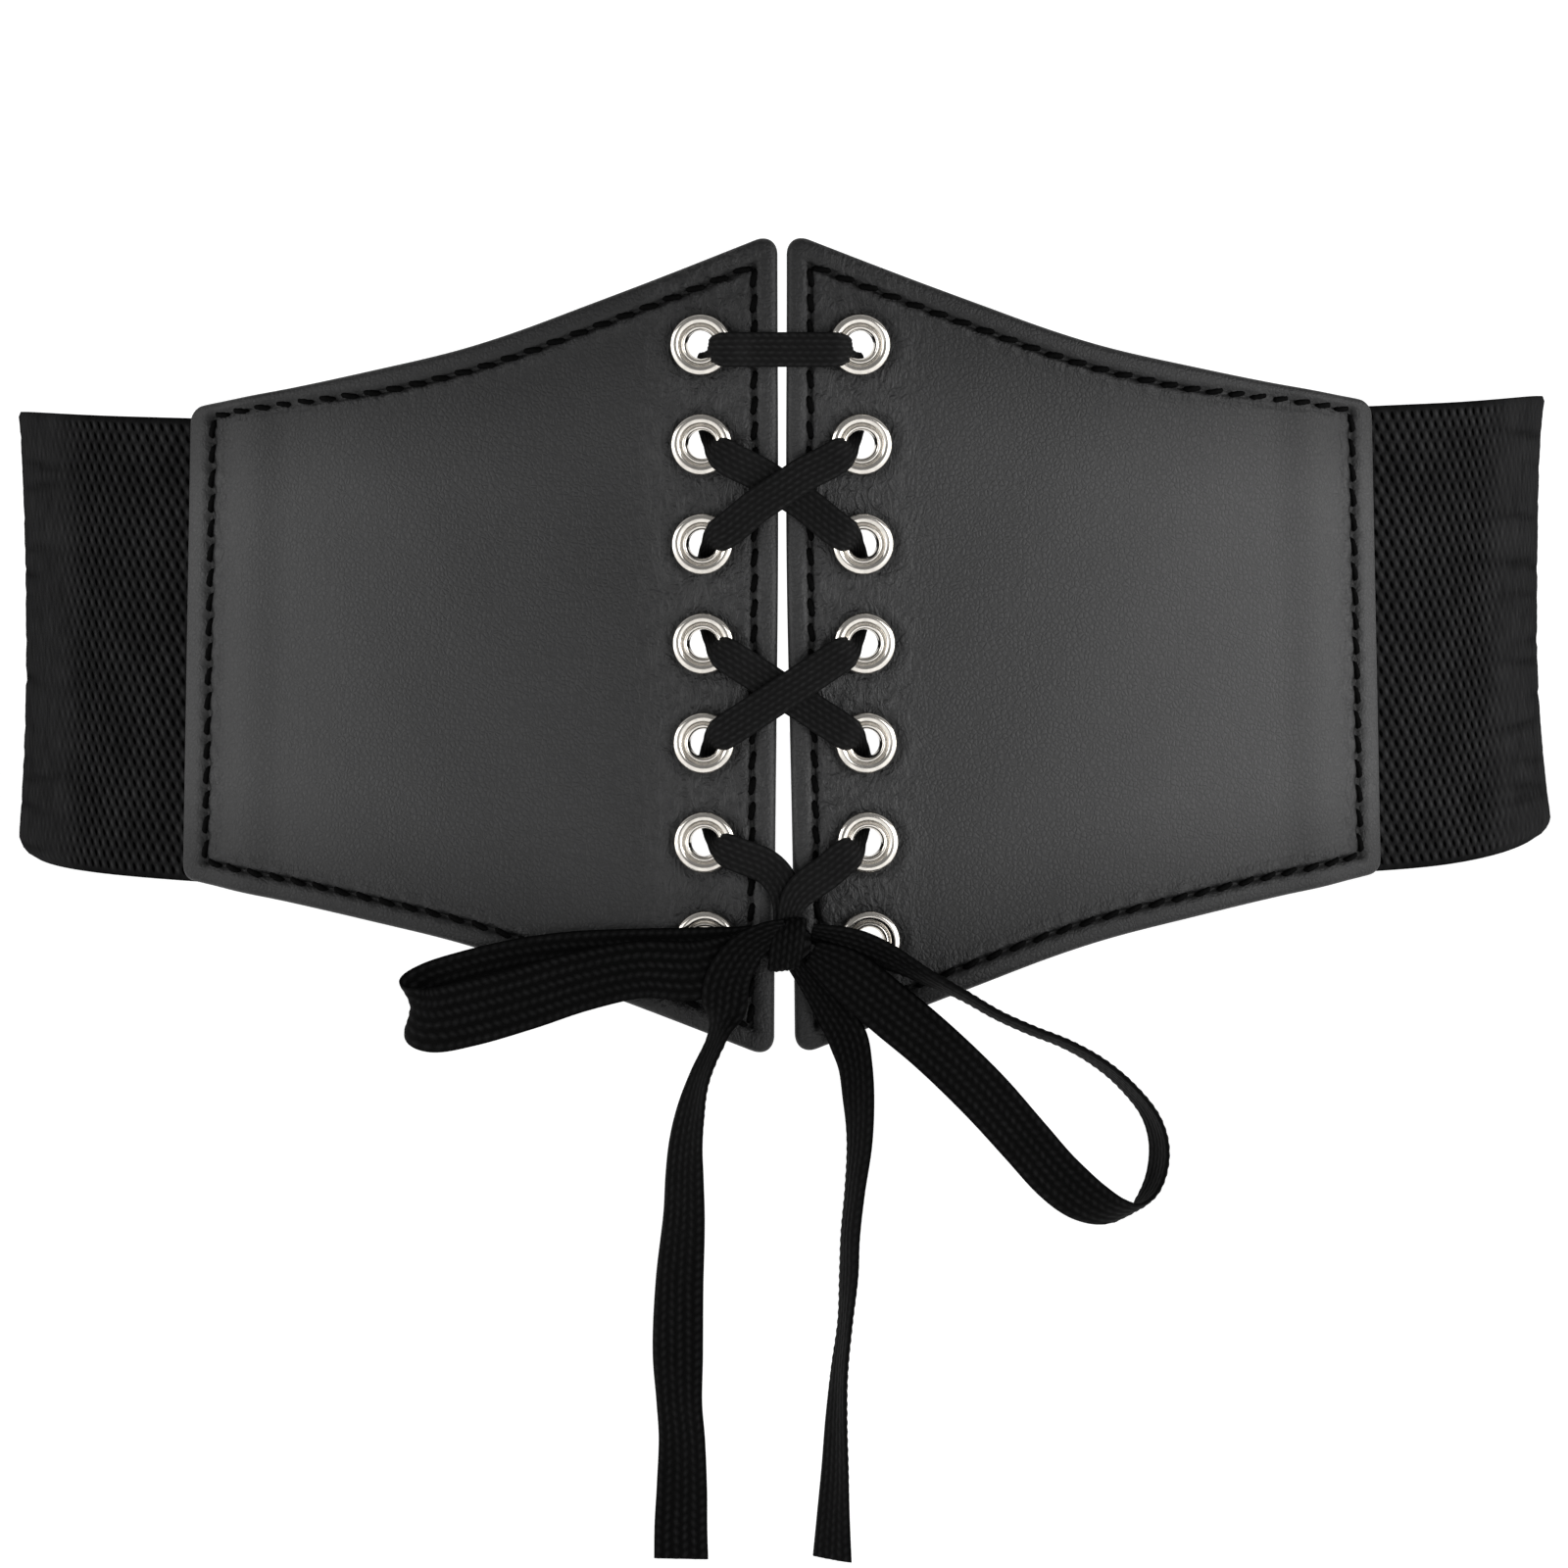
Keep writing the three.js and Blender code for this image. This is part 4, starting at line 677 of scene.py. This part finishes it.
def panel_grid(side):
    """Along, up and distance from the nearest edge for each point of a panel's grid."""
    widened = OUTER_BORDER[side] / BORDER_WIDTH
    near_outer = NEAR_EDGE * widened
    middle = np.arange(1, GRID_ACROSS) / GRID_ACROSS
    near = NEAR_EDGE[None]
    width = PANEL_REACH + PANEL_EXTRA[side] - GAP_HALF_TOP
    field = width - NEAR_EDGE[-1] - near_outer[-1]
    nominal = GAP_HALF_TOP + np.concatenate([NEAR_EDGE, NEAR_EDGE[-1] + middle * field,
                                             width - near_outer[::-1]])
    half = panel_half(nominal)[:, None]
    lean = np.hypot(1, panel_slope(nominal))[:, None]
    low, high = -half + near * lean, half - near[:, ::-1] * lean
    fill = low[:, -1:] + (high[:, :1] - low[:, -1:]) * (np.arange(1, GRID_UP) / GRID_UP)
    up = np.concatenate([low, fill, high], 1)
    start, end = inner_edge(side, up), outer_edge(side, up)
    count = len(NEAR_EDGE)
    along = np.empty_like(up)
    along[:count] = start[:count] + NEAR_EDGE[:, None]
    along[-count:] = end[-count:] - near_outer[::-1, None]
    between = slice(count, len(up) - count)
    room = end - start - NEAR_EDGE[-1] - near_outer[-1]
    along[between] = start[between] + NEAR_EDGE[-1] + room[between] * middle[:, None]
    for _ in range(2):
        scale = panel_half(along) / half
        up = np.concatenate([low, fill, high], 1) * scale
    from_top, from_bottom = (panel_half(along) - up) / lean, (panel_half(along) + up) / lean
    start, end = inner_edge(side, up), outer_edge(side, up)
    distance = np.full_like(up, 99.0)
    for from_side, wide, radius, origin, way in ((along - start, 1, CORNER_INNER, start, 1),
                                                 (end - along, widened, CORNER_OUTER, end, -1)):
        for from_level, stretch, sense in ((from_top, narrowing(along), 1), (from_bottom, 1, -1)):
            nearest = rounded_pair(from_side / wide, from_level * stretch, radius)[2]
            a, b, _ = rounded_pair(from_side, from_level, radius)
            moved = (from_side < radius) & (from_level < radius)
            along = np.where(moved, origin + way * a, along)
            up = np.where(moved, sense * (panel_half(along) - b * lean), up)
            distance = np.minimum(distance, nearest)
    return along, up, distance


def ridge(side, along, up):
    """Swelling of the leather over the hidden end of the elastic."""
    offset = (along - (outer_edge(side, up) - RIDGE_INSET)) / RIDGE_HALF_WIDTH
    return np.where(np.abs(offset) < 1, RIDGE_HEIGHT * (0.5 + 0.5 * np.cos(math.pi * offset)), 0)


def border_profile(distance, hole):
    """Height of the front face over its middle: rolled edge, folded border, stitch groove."""
    roll = 0.9
    edge = np.sqrt(np.clip(roll**2 - np.clip(roll - distance, 0, roll)**2, 0, None)) - roll
    bead = BORDER_RISE * np.sin(math.pi * np.clip(distance / (BORDER_WIDTH + 0.2), 0, 1))**0.55
    groove = (0.45 + 0.25 * hole) * np.exp(-((distance - BORDER_WIDTH) / 0.36)**2)
    dimple = 0.4 * hole**2 * np.exp(-((distance - BORDER_WIDTH - 0.15) / 0.8)**2)
    puff = (0.3 - 0.16 * hole) * np.exp(-((distance - BORDER_WIDTH - 1.3) / 0.8)**2)
    return edge + bead - groove - dimple + puff


def needle_holes(side, along, up):
    """How near each place stands to a needle hole of the edge next to it, 0 to 1."""
    lean = np.hypot(1, panel_slope(along))
    from_outer = (outer_edge(side, up) - along) * BORDER_WIDTH / OUTER_BORDER[side]
    reach = np.stack([(panel_half(along) - up) / lean, from_outer,
                      (panel_half(along) + up) / lean, along - inner_edge(side, up)])
    beats = []
    for line, column, at in zip(stitch_line(side), (0, 1, 0, 1), (along, up, along, up)):
        travelled = run_length(line)
        order = np.argsort(line[:, column])
        along_run = np.interp(at, line[order, column], travelled[order])
        beats.append(0.5 + 0.5 * np.cos(2 * math.pi * along_run / travelled[-1] * stitch_count(travelled)))
    return np.take_along_axis(np.stack(beats), reach.argmin(0)[None], 0)[0]


def ripple(along, up, seed):
    """Slow unevenness of leather that was pulled and pressed."""
    return (0.09 * np.sin(along / 9.1 + 0.7 * np.sin(up / 14 + seed) + seed)
            + 0.07 * np.sin(up / 11.3 + 0.9 * np.sin(along / 17 + 2 * seed))
            + 0.035 * np.sin(along / 3.7 - up / 5.9 + 3 * seed))


def make_panel(side, seed):
    along, up, distance = panel_grid(side)
    hole = needle_holes(side, along, up)
    outward = PANEL_FRONT + border_profile(distance, hole) + ridge(side, along, up)
    outward += ripple(along, up, seed) * smooth((distance - 4.6) / 4)
    inward = PANEL_BACK + 0.5 * (1 - smooth(distance / 0.9))
    worked = 0.85 * np.exp(-((along - 13) / 7)**2) + 0.25 * np.exp(-((distance - 5) / 1.5)**2)
    centre = (along[:-1, :-1] + along[1:, 1:]) / 2, (up[:-1, :-1] + up[1:, 1:]) / 2
    keep = np.ones(centre[0].shape, bool)
    # Painted shade along the stitch groove, wider and darker at the needle holes.
    groove = (0.85 + 0.1 * hole) * np.exp(-((distance - BORDER_WIDTH) / (0.44 + 0.28 * hole**2))**2)
    for row in range(1, EYELET_ROWS + 1):
        hole = eyelet_place(side, row)
        hole[0] *= SIGN[side]
        radius = np.hypot(along - hole[0], up - hole[1])
        outward -= 0.36 * np.exp(-((radius - EYELET_RADIUS - 0.15) / 0.6)**2)
        # Painted shadow ring round each eyelet's flange.
        groove = np.maximum(groove, 0.8 * np.exp(-((radius - EYELET_RADIUS - 0.15) / 0.35)**2))
        outward += 0.16 * np.exp(-((radius - EYELET_RADIUS - 1.9) / 1)**2)
        gone = np.hypot(centre[0] - hole[0], centre[1] - hole[1]) < HOLE_RADIUS
        keep &= ~gone
        corner = np.zeros(along.shape, bool)
        for rows in (slice(None, -1), slice(1, None)):
            for columns in (slice(None, -1), slice(1, None)):
                corner[rows, columns] |= gone
        pull = np.where(corner, HOLE_RADIUS / np.maximum(radius, 0.1), 1)
        along, up = hole[0] + (along - hole[0]) * pull, hole[1] + (up - hole[1]) * pull
    hung = up + PANEL_TILT * SIGN[side] * along
    front, back = place(SIGN[side] * along, hung, outward), place(SIGN[side] * along, hung, inward)
    points, faces, used = slab(front, back, keep)
    # Painted shade towards the panel's top and bottom edges: 1 over the middle, falling to 0 at the edges; the back
    # faces get none.
    painted_light_share = smooth((1 - np.abs(up) / panel_half(along)) / 0.5)
    values = {"groove": np.concatenate([groove.ravel(), 0 * groove.ravel()])[used],
              "worked": np.concatenate([worked.ravel(), 0 * worked.ravel()])[used],
              "painted_light_share": np.concatenate([painted_light_share.ravel(), 0 * painted_light_share.ravel() + 1])[used]}
    made = piece(f"panel_{side}_leather", points, faces, LEATHER, "panel_leather", values)
    made.data.materials.append(LINING)
    count = along.size
    backs = [bool((used[list(polygon.vertices)] >= count).all()) for polygon in made.data.polygons]
    made.data.polygons.foreach_set("material_index", backs)
    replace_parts(made, f"panel_{side}")


make_panel("left", 0.4)
make_panel("right", 2.1)


# Stitches

def thread_bit(length, radius):
    """One stitch along +X: a plump length of two-ply thread whose ends dive in."""
    stations, sides = np.linspace(-1, 1, 13), 8
    angle = np.linspace(0, 2 * math.pi, sides, endpoint=False)
    plump = radius * np.sqrt(np.clip(1 - np.abs(stations)**4, 0.02, 1)) * (1 + 0.1 * np.cos(9 * stations))
    sink = -0.7 * np.abs(stations)**4
    points = np.stack([stations[:, None] * length / 2 + 0 * angle, plump[:, None] * np.cos(angle),
                       plump[:, None] * np.sin(angle) * 0.8 + sink[:, None]], -1).reshape(-1, 3)
    # The relief values paint shade: lighter on the thread's side away from the leather, darker on the side toward it.
    return points, facing_out(points, tube_faces(len(stations), sides)), np.sin(angle) * 0.5 + 0.5 + 0 * plump[:, None]


def stitches_on(line, side, out, length, slant, reverse=False):
    """Stitches spaced evenly along one run of the stitch line."""
    travelled = run_length(line)
    count = stitch_count(travelled)
    bits, (points, faces, relief) = [], thread_bit(length, STITCH_RADIUS)
    for k in range(count):
        at = (k + 0.5) / count * travelled[-1]
        spot = [np.interp(at, travelled, line[:, c]) for c in (0, 1)]
        ahead = [np.interp(at + 0.5, travelled, line[:, c]) - np.interp(at - 0.5, travelled, line[:, c]) for c in (0, 1)]
        angle = math.atan2(ahead[1], SIGN[side] * ahead[0]) + math.radians(slant * SIGN[side])
        spun = np.stack([points[:, 0] * math.cos(angle) - points[:, 1] * math.sin(angle),
                         points[:, 0] * math.sin(angle) + points[:, 1] * math.cos(angle),
                         points[:, 2] * (-1 if reverse else 1)], -1)
        rise = 0 if reverse else float(ridge(side, spot[0], spot[1]))
        hung = spot[1] + PANEL_TILT * SIGN[side] * spot[0]
        bits.append((seated(spun, SIGN[side] * spot[0], hung, out + rise), faces, {"relief": relief}))
    return bits


def elastic_section(side, along):
    share = (along - ELASTIC_START) / (ELASTIC_END - ELASTIC_START)
    middle, necked, flared = (course(ELASTIC_COURSE[side], column)(share) for column in (1, 2, 3))
    return ELASTIC_DRIFT * middle, (ELASTIC_HEIGHT - ELASTIC_NECKING * necked) / 2, ELASTIC_FLARE * flared


ELASTIC_START = PANEL_REACH - ELASTIC_TUCK
ELASTIC_END = WAIST_LENGTH / 2 - BACK_OPENING / 2 - TAB_THICKNESS - SEAT_GAP

# Middle height, loss of height and flare of each band, as shares, from its tucked end.
ELASTIC_COURSE = {
    "left": [(0, -0.88, -0.18, 0), (0.14, -0.6, -0.22, 0.08), (0.34, -0.25, -0.22, 0.3), (0.6, -0.7, 0, 0.1), (1, -1, 0, 0)],
    "right": [(0, -0.02, -0.18, 0), (0.14, 0.35, -0.4, 0.2), (0.34, 1.25, 0.1, 1), (0.6, -0.2, 0.1, 0.3), (1, -1, 0, 0)],
}


def make_stitches(side):
    bits = []
    groove_floor = PANEL_FRONT - 0.05
    for run in stitch_line(side):
        bits += stitches_on(run, side, groove_floor, STITCH_LENGTH, STITCH_SLANT)
    for run in (stitch_line(side)[0], stitch_line(side)[2], stitch_line(side)[3]):
        bits += stitches_on(run, side, PANEL_BACK - 0.05, STITCH_LENGTH, 0, True)
    for inset in (OUTER_BORDER[side], ELASTIC_TUCK - 2.5):
        middle, half, _ = elastic_section(side, PANEL_REACH - inset)
        ups = np.linspace(middle + half - 2, middle - half + 2, 60)
        run = np.stack([outer_edge(side, ups) - inset, ups], -1)
        bits += stitches_on(run, side, -ELASTIC_THICKNESS - 0.12, STITCH_LENGTH, 0, True)
    points, faces, values = joined(bits)
    uv = points[:, [0, 2]] * 0.001
    piece(f"stitches_{side}", points, faces, THREAD, "lace_braid", values, uv)


make_stitches("left")
make_stitches("right")


# Eyelets and snaps

EYELET_PROFILE = [
    (2.95, 0.15), (4.6, 0.15), (4.86, 0.2), (5, 0.36), (5.04, 0.58), (4.98, 0.8), (4.84, 1), (4.63, 1.16),
    (4.37, 1.26), (4.1, 1.28), (3.84, 1.22), (3.62, 1.08), (3.46, 0.86), (3.36, 0.6), (3.28, 0.5), (3.2, 0.62),
    (3.1, 0.85), (2.96, 0.97), (2.8, 0.97), (2.64, 0.88), (2.5, 0.7), (2.38, 0.44), (2.29, 0.1), (2.24, -0.4),
    (2.25, -1.4), (2.34, -2.1), (2.5, -2.6), (2.8, -2.95), (3.3, -3.12), (3.75, -3.1), (4.1, -2.9), (4.28, -2.65),
    (4.26, -2.5), (2.95, -2.5),
]
CAP_PROFILE = [
    (0.01, 0), (5.35, 0), (5.5, 0.15), (5.5, 0.6), (5.42, 0.85), (5.1, 1.2), (4.5, 1.5), (3.9, 1.62), (3.5, 1.6),
    (3.3, 1.66), (3.2, 1.85), (3.02, 2.05), (2.6, 2.16), (1.6, 2.2), (0.01, 2.2),
]
STUD_PROFILE = [
    (0.01, 0), (4.45, 0), (4.6, 0.15), (4.6, 0.7), (4.45, 1.05), (4, 1.4), (3.2, 1.65), (2.4, 1.78), (1.95, 1.9),
    (1.75, 2.1), (1.78, 2.3), (1.86, 2.5), (1.8, 2.75), (1.5, 2.93), (0.9, 3), (0.01, 3),
]


def make_eyelets(side):
    points, faces = lathe(EYELET_PROFILE, 56)
    bits = []
    for row in range(1, EYELET_ROWS + 1):
        along, up = eyelet_place(side, row)
        bits.append((seated(points, along, up, PANEL_FRONT), faces))
    points, faces, _ = joined(bits)
    made = piece(f"eyelets_{side}", points, faces, NICKEL, "eyelet_metal")
    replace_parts(made, *(f"eyelet_{side}_{row}" for row in range(1, EYELET_ROWS + 1)))


def make_snaps(side, node, profile):
    points, faces = lathe(profile, 48)
    along = ELASTIC_END + SEAT_GAP + TAB_THICKNESS - TAB_LENGTH / 2
    middle = elastic_section(side, ELASTIC_END)[0]
    bits = [(seated(points, SIGN[side] * along, middle + SNAP_SPACING * ((SNAP_COUNT - 1) / 2 - k),
                    2 * SEAT_GAP + TAB_THICKNESS), faces) for k in range(SNAP_COUNT)]
    points, faces, _ = joined(bits)
    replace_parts(piece(f"{node}s", points, faces, NICKEL, "eyelet_metal"), f"{node}_1", f"{node}_2")


make_eyelets("left")
make_eyelets("right")
make_snaps("left", "snap_stud", STUD_PROFILE)
make_snaps("right", "snap_cap", CAP_PROFILE)


# Elastic bands

WEAVE_COLUMN, WEAVE_ROW, WEAVE_RELIEF = 1.2, 1.75, 0.34
EDGE_SPREAD, EDGE_CURL = {"left": 0.95, "right": 0.45}, 3.2
CREASES = 15


def at_side(along, width):
    """Rises to 1 where the band passes the side of the waist."""
    return np.exp(-((along - 0.25 * WAIST_LENGTH) / width)**2)


def creases(side, along, up):
    """Fine level creases of the stretched webbing at the side of the waist."""
    rng = np.random.default_rng(11 if side == "left" else 12)
    total = 0 * (along + up)
    for level in np.linspace(-35, 35, CREASES) + rng.uniform(-2, 2, CREASES):
        wander = level + 0.5 * np.sin(along / rng.uniform(5, 9) + rng.uniform(0, 6))
        reach = np.exp(-((along - 0.25 * WAIST_LENGTH + rng.uniform(-4, 26)) / rng.uniform(10, 18))**2)
        total = total + rng.uniform(0.5, 1) * reach * np.exp(-((up - wander) / 0.75)**2)
    return total


def make_elastic(side):
    """Band with raised upright floats of yarn in a staggered pattern on its outer face."""
    columns = int(round((ELASTIC_END - ELASTIC_START) / WEAVE_COLUMN)) * 2
    rows = int(round(ELASTIC_HEIGHT / WEAVE_ROW)) * 2
    along = np.linspace(ELASTIC_START, ELASTIC_END, columns + 1)[:, None]
    share = np.linspace(-1, 1, rows + 1)[None]
    middle, half, flare = elastic_section(side, along)
    edge = np.clip((1 - np.abs(share)) * half / 0.5, 0, 1)
    up = middle + share * half + 0 * along
    column, row = np.arange(columns + 1)[:, None], np.arange(rows + 1)[None]
    pits = np.cos(math.pi / 2 * column) * np.cos(math.pi / 2 * row)
    relief = 0.42 - 0.42 * np.clip(pits, 0, 1) + 0.5 * np.clip(-pits, 0, 1)
    selvedge = smooth((1 - np.abs(share)) * half / 1.6)
    relief = relief * selvedge + 0.3 * (1 - selvedge)
    flattened = 0.8 * smooth((along - 131) / 15) * (1 - smooth((along - 205) / 20))
    # The relief sets both the weave's height and its painted shade; lowering it in the creases also paints shade
    # there.
    relief = relief * (1 - flattened) + 0.6 * flattened - 0.22 * creases(side, along, up)
    lean = np.where(share < 0, flare * share**2, 0.3 * flare * np.abs(share)**6)
    lean = lean + EDGE_SPREAD[side] * at_side(along, 16) * (0.5 + share**2)
    lean = lean - EDGE_CURL * at_side(along, 30) * np.clip((-share - 0.9) / 0.1, 0, 1)**2
    lean = lean - 0.16 * creases(side, along, up)
    rounding = (1 - np.sqrt(np.clip(1 - (1 - edge)**2, 0, 1))) * 0.5
    front = place(SIGN[side] * along, up, lean + WEAVE_RELIEF * (relief - 1) * selvedge - rounding)
    ribs = 0.5 + 0.5 * np.cos(math.pi * row + 0 * column)
    back = place(SIGN[side] * along, up, lean - ELASTIC_THICKNESS + 0.08 * ribs + rounding)
    points, faces, used = slab(front, back, np.ones((columns, rows), bool))
    # Relief values for the back face, which paint shade between its ribs.
    inner = 0.35 + 0.5 * ribs
    relief = np.concatenate([relief.ravel(), inner.ravel()])[used]
    uv = np.stack([np.tile(along + 0 * share, (2, 1)).ravel(), np.tile(up, (2, 1)).ravel()], -1)[used] * 0.001
    made = piece(f"elastic_{side}_webbing", points, faces, WEBBING, "elastic_webbing", {"relief": relief}, uv)
    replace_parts(made, f"elastic_{side}")


make_elastic("left")
make_elastic("right")


# Closure tabs

def make_tab(side):
    """Strip of leather folded round the band's end, stitched near its open edge."""
    nose = ELASTIC_END + SEAT_GAP + TAB_THICKNESS
    root, pocket = nose - TAB_LENGTH, ELASTIC_END + SEAT_GAP
    outer, inner = SEAT_GAP + TAB_THICKNESS, -ELASTIC_THICKNESS - SEAT_GAP - TAB_THICKNESS
    middle_out, radius = (outer + inner) / 2, (outer - inner) / 2
    bend = np.linspace(math.pi / 2, -math.pi / 2, 17)
    straight = np.linspace(root + 0.5, nose - radius * 0.6, 20)
    section = [(root, SEAT_GAP + 0.3), (root + 0.12, outer - 0.25), *((a, outer) for a in straight),
               *((nose - radius * 0.6 + radius * 0.6 * math.cos(t), middle_out + radius * math.sin(t)) for t in bend[1:-1]),
               *((a, inner) for a in straight[::-1]), (root + 0.12, inner + 0.25), (root, inner + TAB_THICKNESS - 0.3),
               (root + 0.15, inner + TAB_THICKNESS), ((root + pocket) / 2, inner + TAB_THICKNESS),
               (pocket, inner + TAB_THICKNESS), (pocket, SEAT_GAP), ((root + pocket) / 2, SEAT_GAP),
               (root + 0.15, SEAT_GAP)]
    section = np.array(section)
    centre, half, _ = elastic_section(side, ELASTIC_END)
    reach = half + TAB_OVERHANG
    stations = np.concatenate([[-1, -0.997, -0.99], np.linspace(-0.975, 0.975, 60), [0.99, 0.997, 1]])
    shrink = 0.35 * (np.abs(stations) > 0.999) + 0.12 * (np.abs(np.abs(stations) - 0.997) < 1e-4)
    seam = 0.3 * np.exp(-((section[:, 0] - root - 2.6) / 0.4)**2)
    lowered = np.sign(section[:, 1] - middle_out) * (np.abs(section[:, 1] - middle_out) > 0.6 * radius)
    out = section[:, 1][None] - (shrink[:, None] + seam[None]) * lowered[None]
    out = out + 0.05 * np.sin(stations[:, None] * 9 + section[:, 0][None] / 3) * lowered[None]
    points = place(SIGN[side] * section[:, 0][None] + 0 * out, centre + reach * stations[:, None] + 0 * out, out)
    flat = points.reshape(-1, 3)
    # Painted shade along the tab's stitch seam; the tab gets none of the painted shade towards top and bottom.
    groove = np.exp(-((section[:, 0] - root - 2.6) / 0.35)**2)[None] * 0.8 + 0 * out
    values = {"groove": groove, "worked": 0.2 + 0 * out, "painted_light_share": 1 + 0 * out}
    made = piece(f"tab_{side}_leather", flat, facing_out(flat, tube_faces(len(stations), len(section))),
                 LEATHER, "panel_leather", values)
    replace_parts(made, f"closure_tab_{side}")
    ups = np.linspace(centre + reach - 2.5, centre - reach + 2.5, 40)
    run = np.stack([np.full_like(ups, root + 2.6), ups], -1)
    bits = [bit for out, reverse in ((outer - 0.12, False), (inner + 0.12, True))
            for bit in stitches_on(run, side, out, STITCH_LENGTH, 0, reverse)]
    points, faces, values = joined(bits)
    piece(f"tab_stitches_{side}", points, faces, THREAD, "lace_braid", values, points[:, [0, 2]] * 0.001)


make_tab("left")
make_tab("right")


# Floor, light and background

def set_floor():
    mesh = bpy.data.meshes.new("floor")
    size, level = 6.0, -0.26
    mesh.from_pydata([(-size, -size, level), (size, -size, level), (size, size, level), (-size, size, level)], [], [(0, 1, 2, 3)])
    look, tree, shader = new_look("floor", **{"Roughness": 0.9, "Specular IOR Level": 0.1,
                                              "Emission Color": (1, 1, 1, 1), "Emission Strength": 0.32})
    where = add(tree, "ShaderNodeTexCoord").outputs["Object"]
    tree.links.new(blend(tree, noise(tree, where, 3.0), (0.93, 0.93, 0.93), (0.95, 0.95, 0.95)), shader.inputs["Base Color"])
    mesh.materials.append(look)
    floor = bpy.data.objects.new("floor", mesh)
    bpy.context.scene.collection.objects.link(floor)


def add_light(name, at, aim, size, power, tall=None):
    data = bpy.data.lights.new(name, "AREA")
    data.shape, data.size, data.size_y, data.energy = "RECTANGLE", size, tall or size, power
    light = bpy.data.objects.new(name, data)
    light.location = at
    light.rotation_euler = (Vector(aim) - Vector(at)).to_track_quat("-Z", "Y").to_euler()
    bpy.context.scene.collection.objects.link(light)


def set_stage():
    set_floor()
    world = bpy.data.worlds.new("studio")
    world.use_nodes = True
    tree = world.node_tree
    toward = add(tree, "ShaderNodeSeparateXYZ", {0: add(tree, "ShaderNodeTexCoord").outputs["Generated"]})
    level = span(tree, toward.outputs[1], -0.35, 0.45, 0.3, 1.2)
    tree.links.new(level, tree.nodes["Background"].inputs[1])
    tree.nodes["Background"].inputs[0].default_value = (1, 1, 1, 1)
    bpy.context.scene.world = world
    add_light("key", (1.0, -1.1, 0.12), (0.05, -0.06, 0), 1.0, 16, 1.0)
    add_light("fill", (-1.1, -0.85, 0.12), (-0.05, -0.06, 0), 0.9, 8, 1.0)
    add_light("strip_right", (1.35, -0.3, 0.12), (0.05, -0.06, 0), 0.35, 12.5, 1.0)
    add_light("strip_left", (-1.35, -0.3, 0.12), (-0.05, -0.06, 0), 0.35, 6.5, 1.0)
    bpy.context.scene.view_settings.view_transform = "Standard"


set_stage()
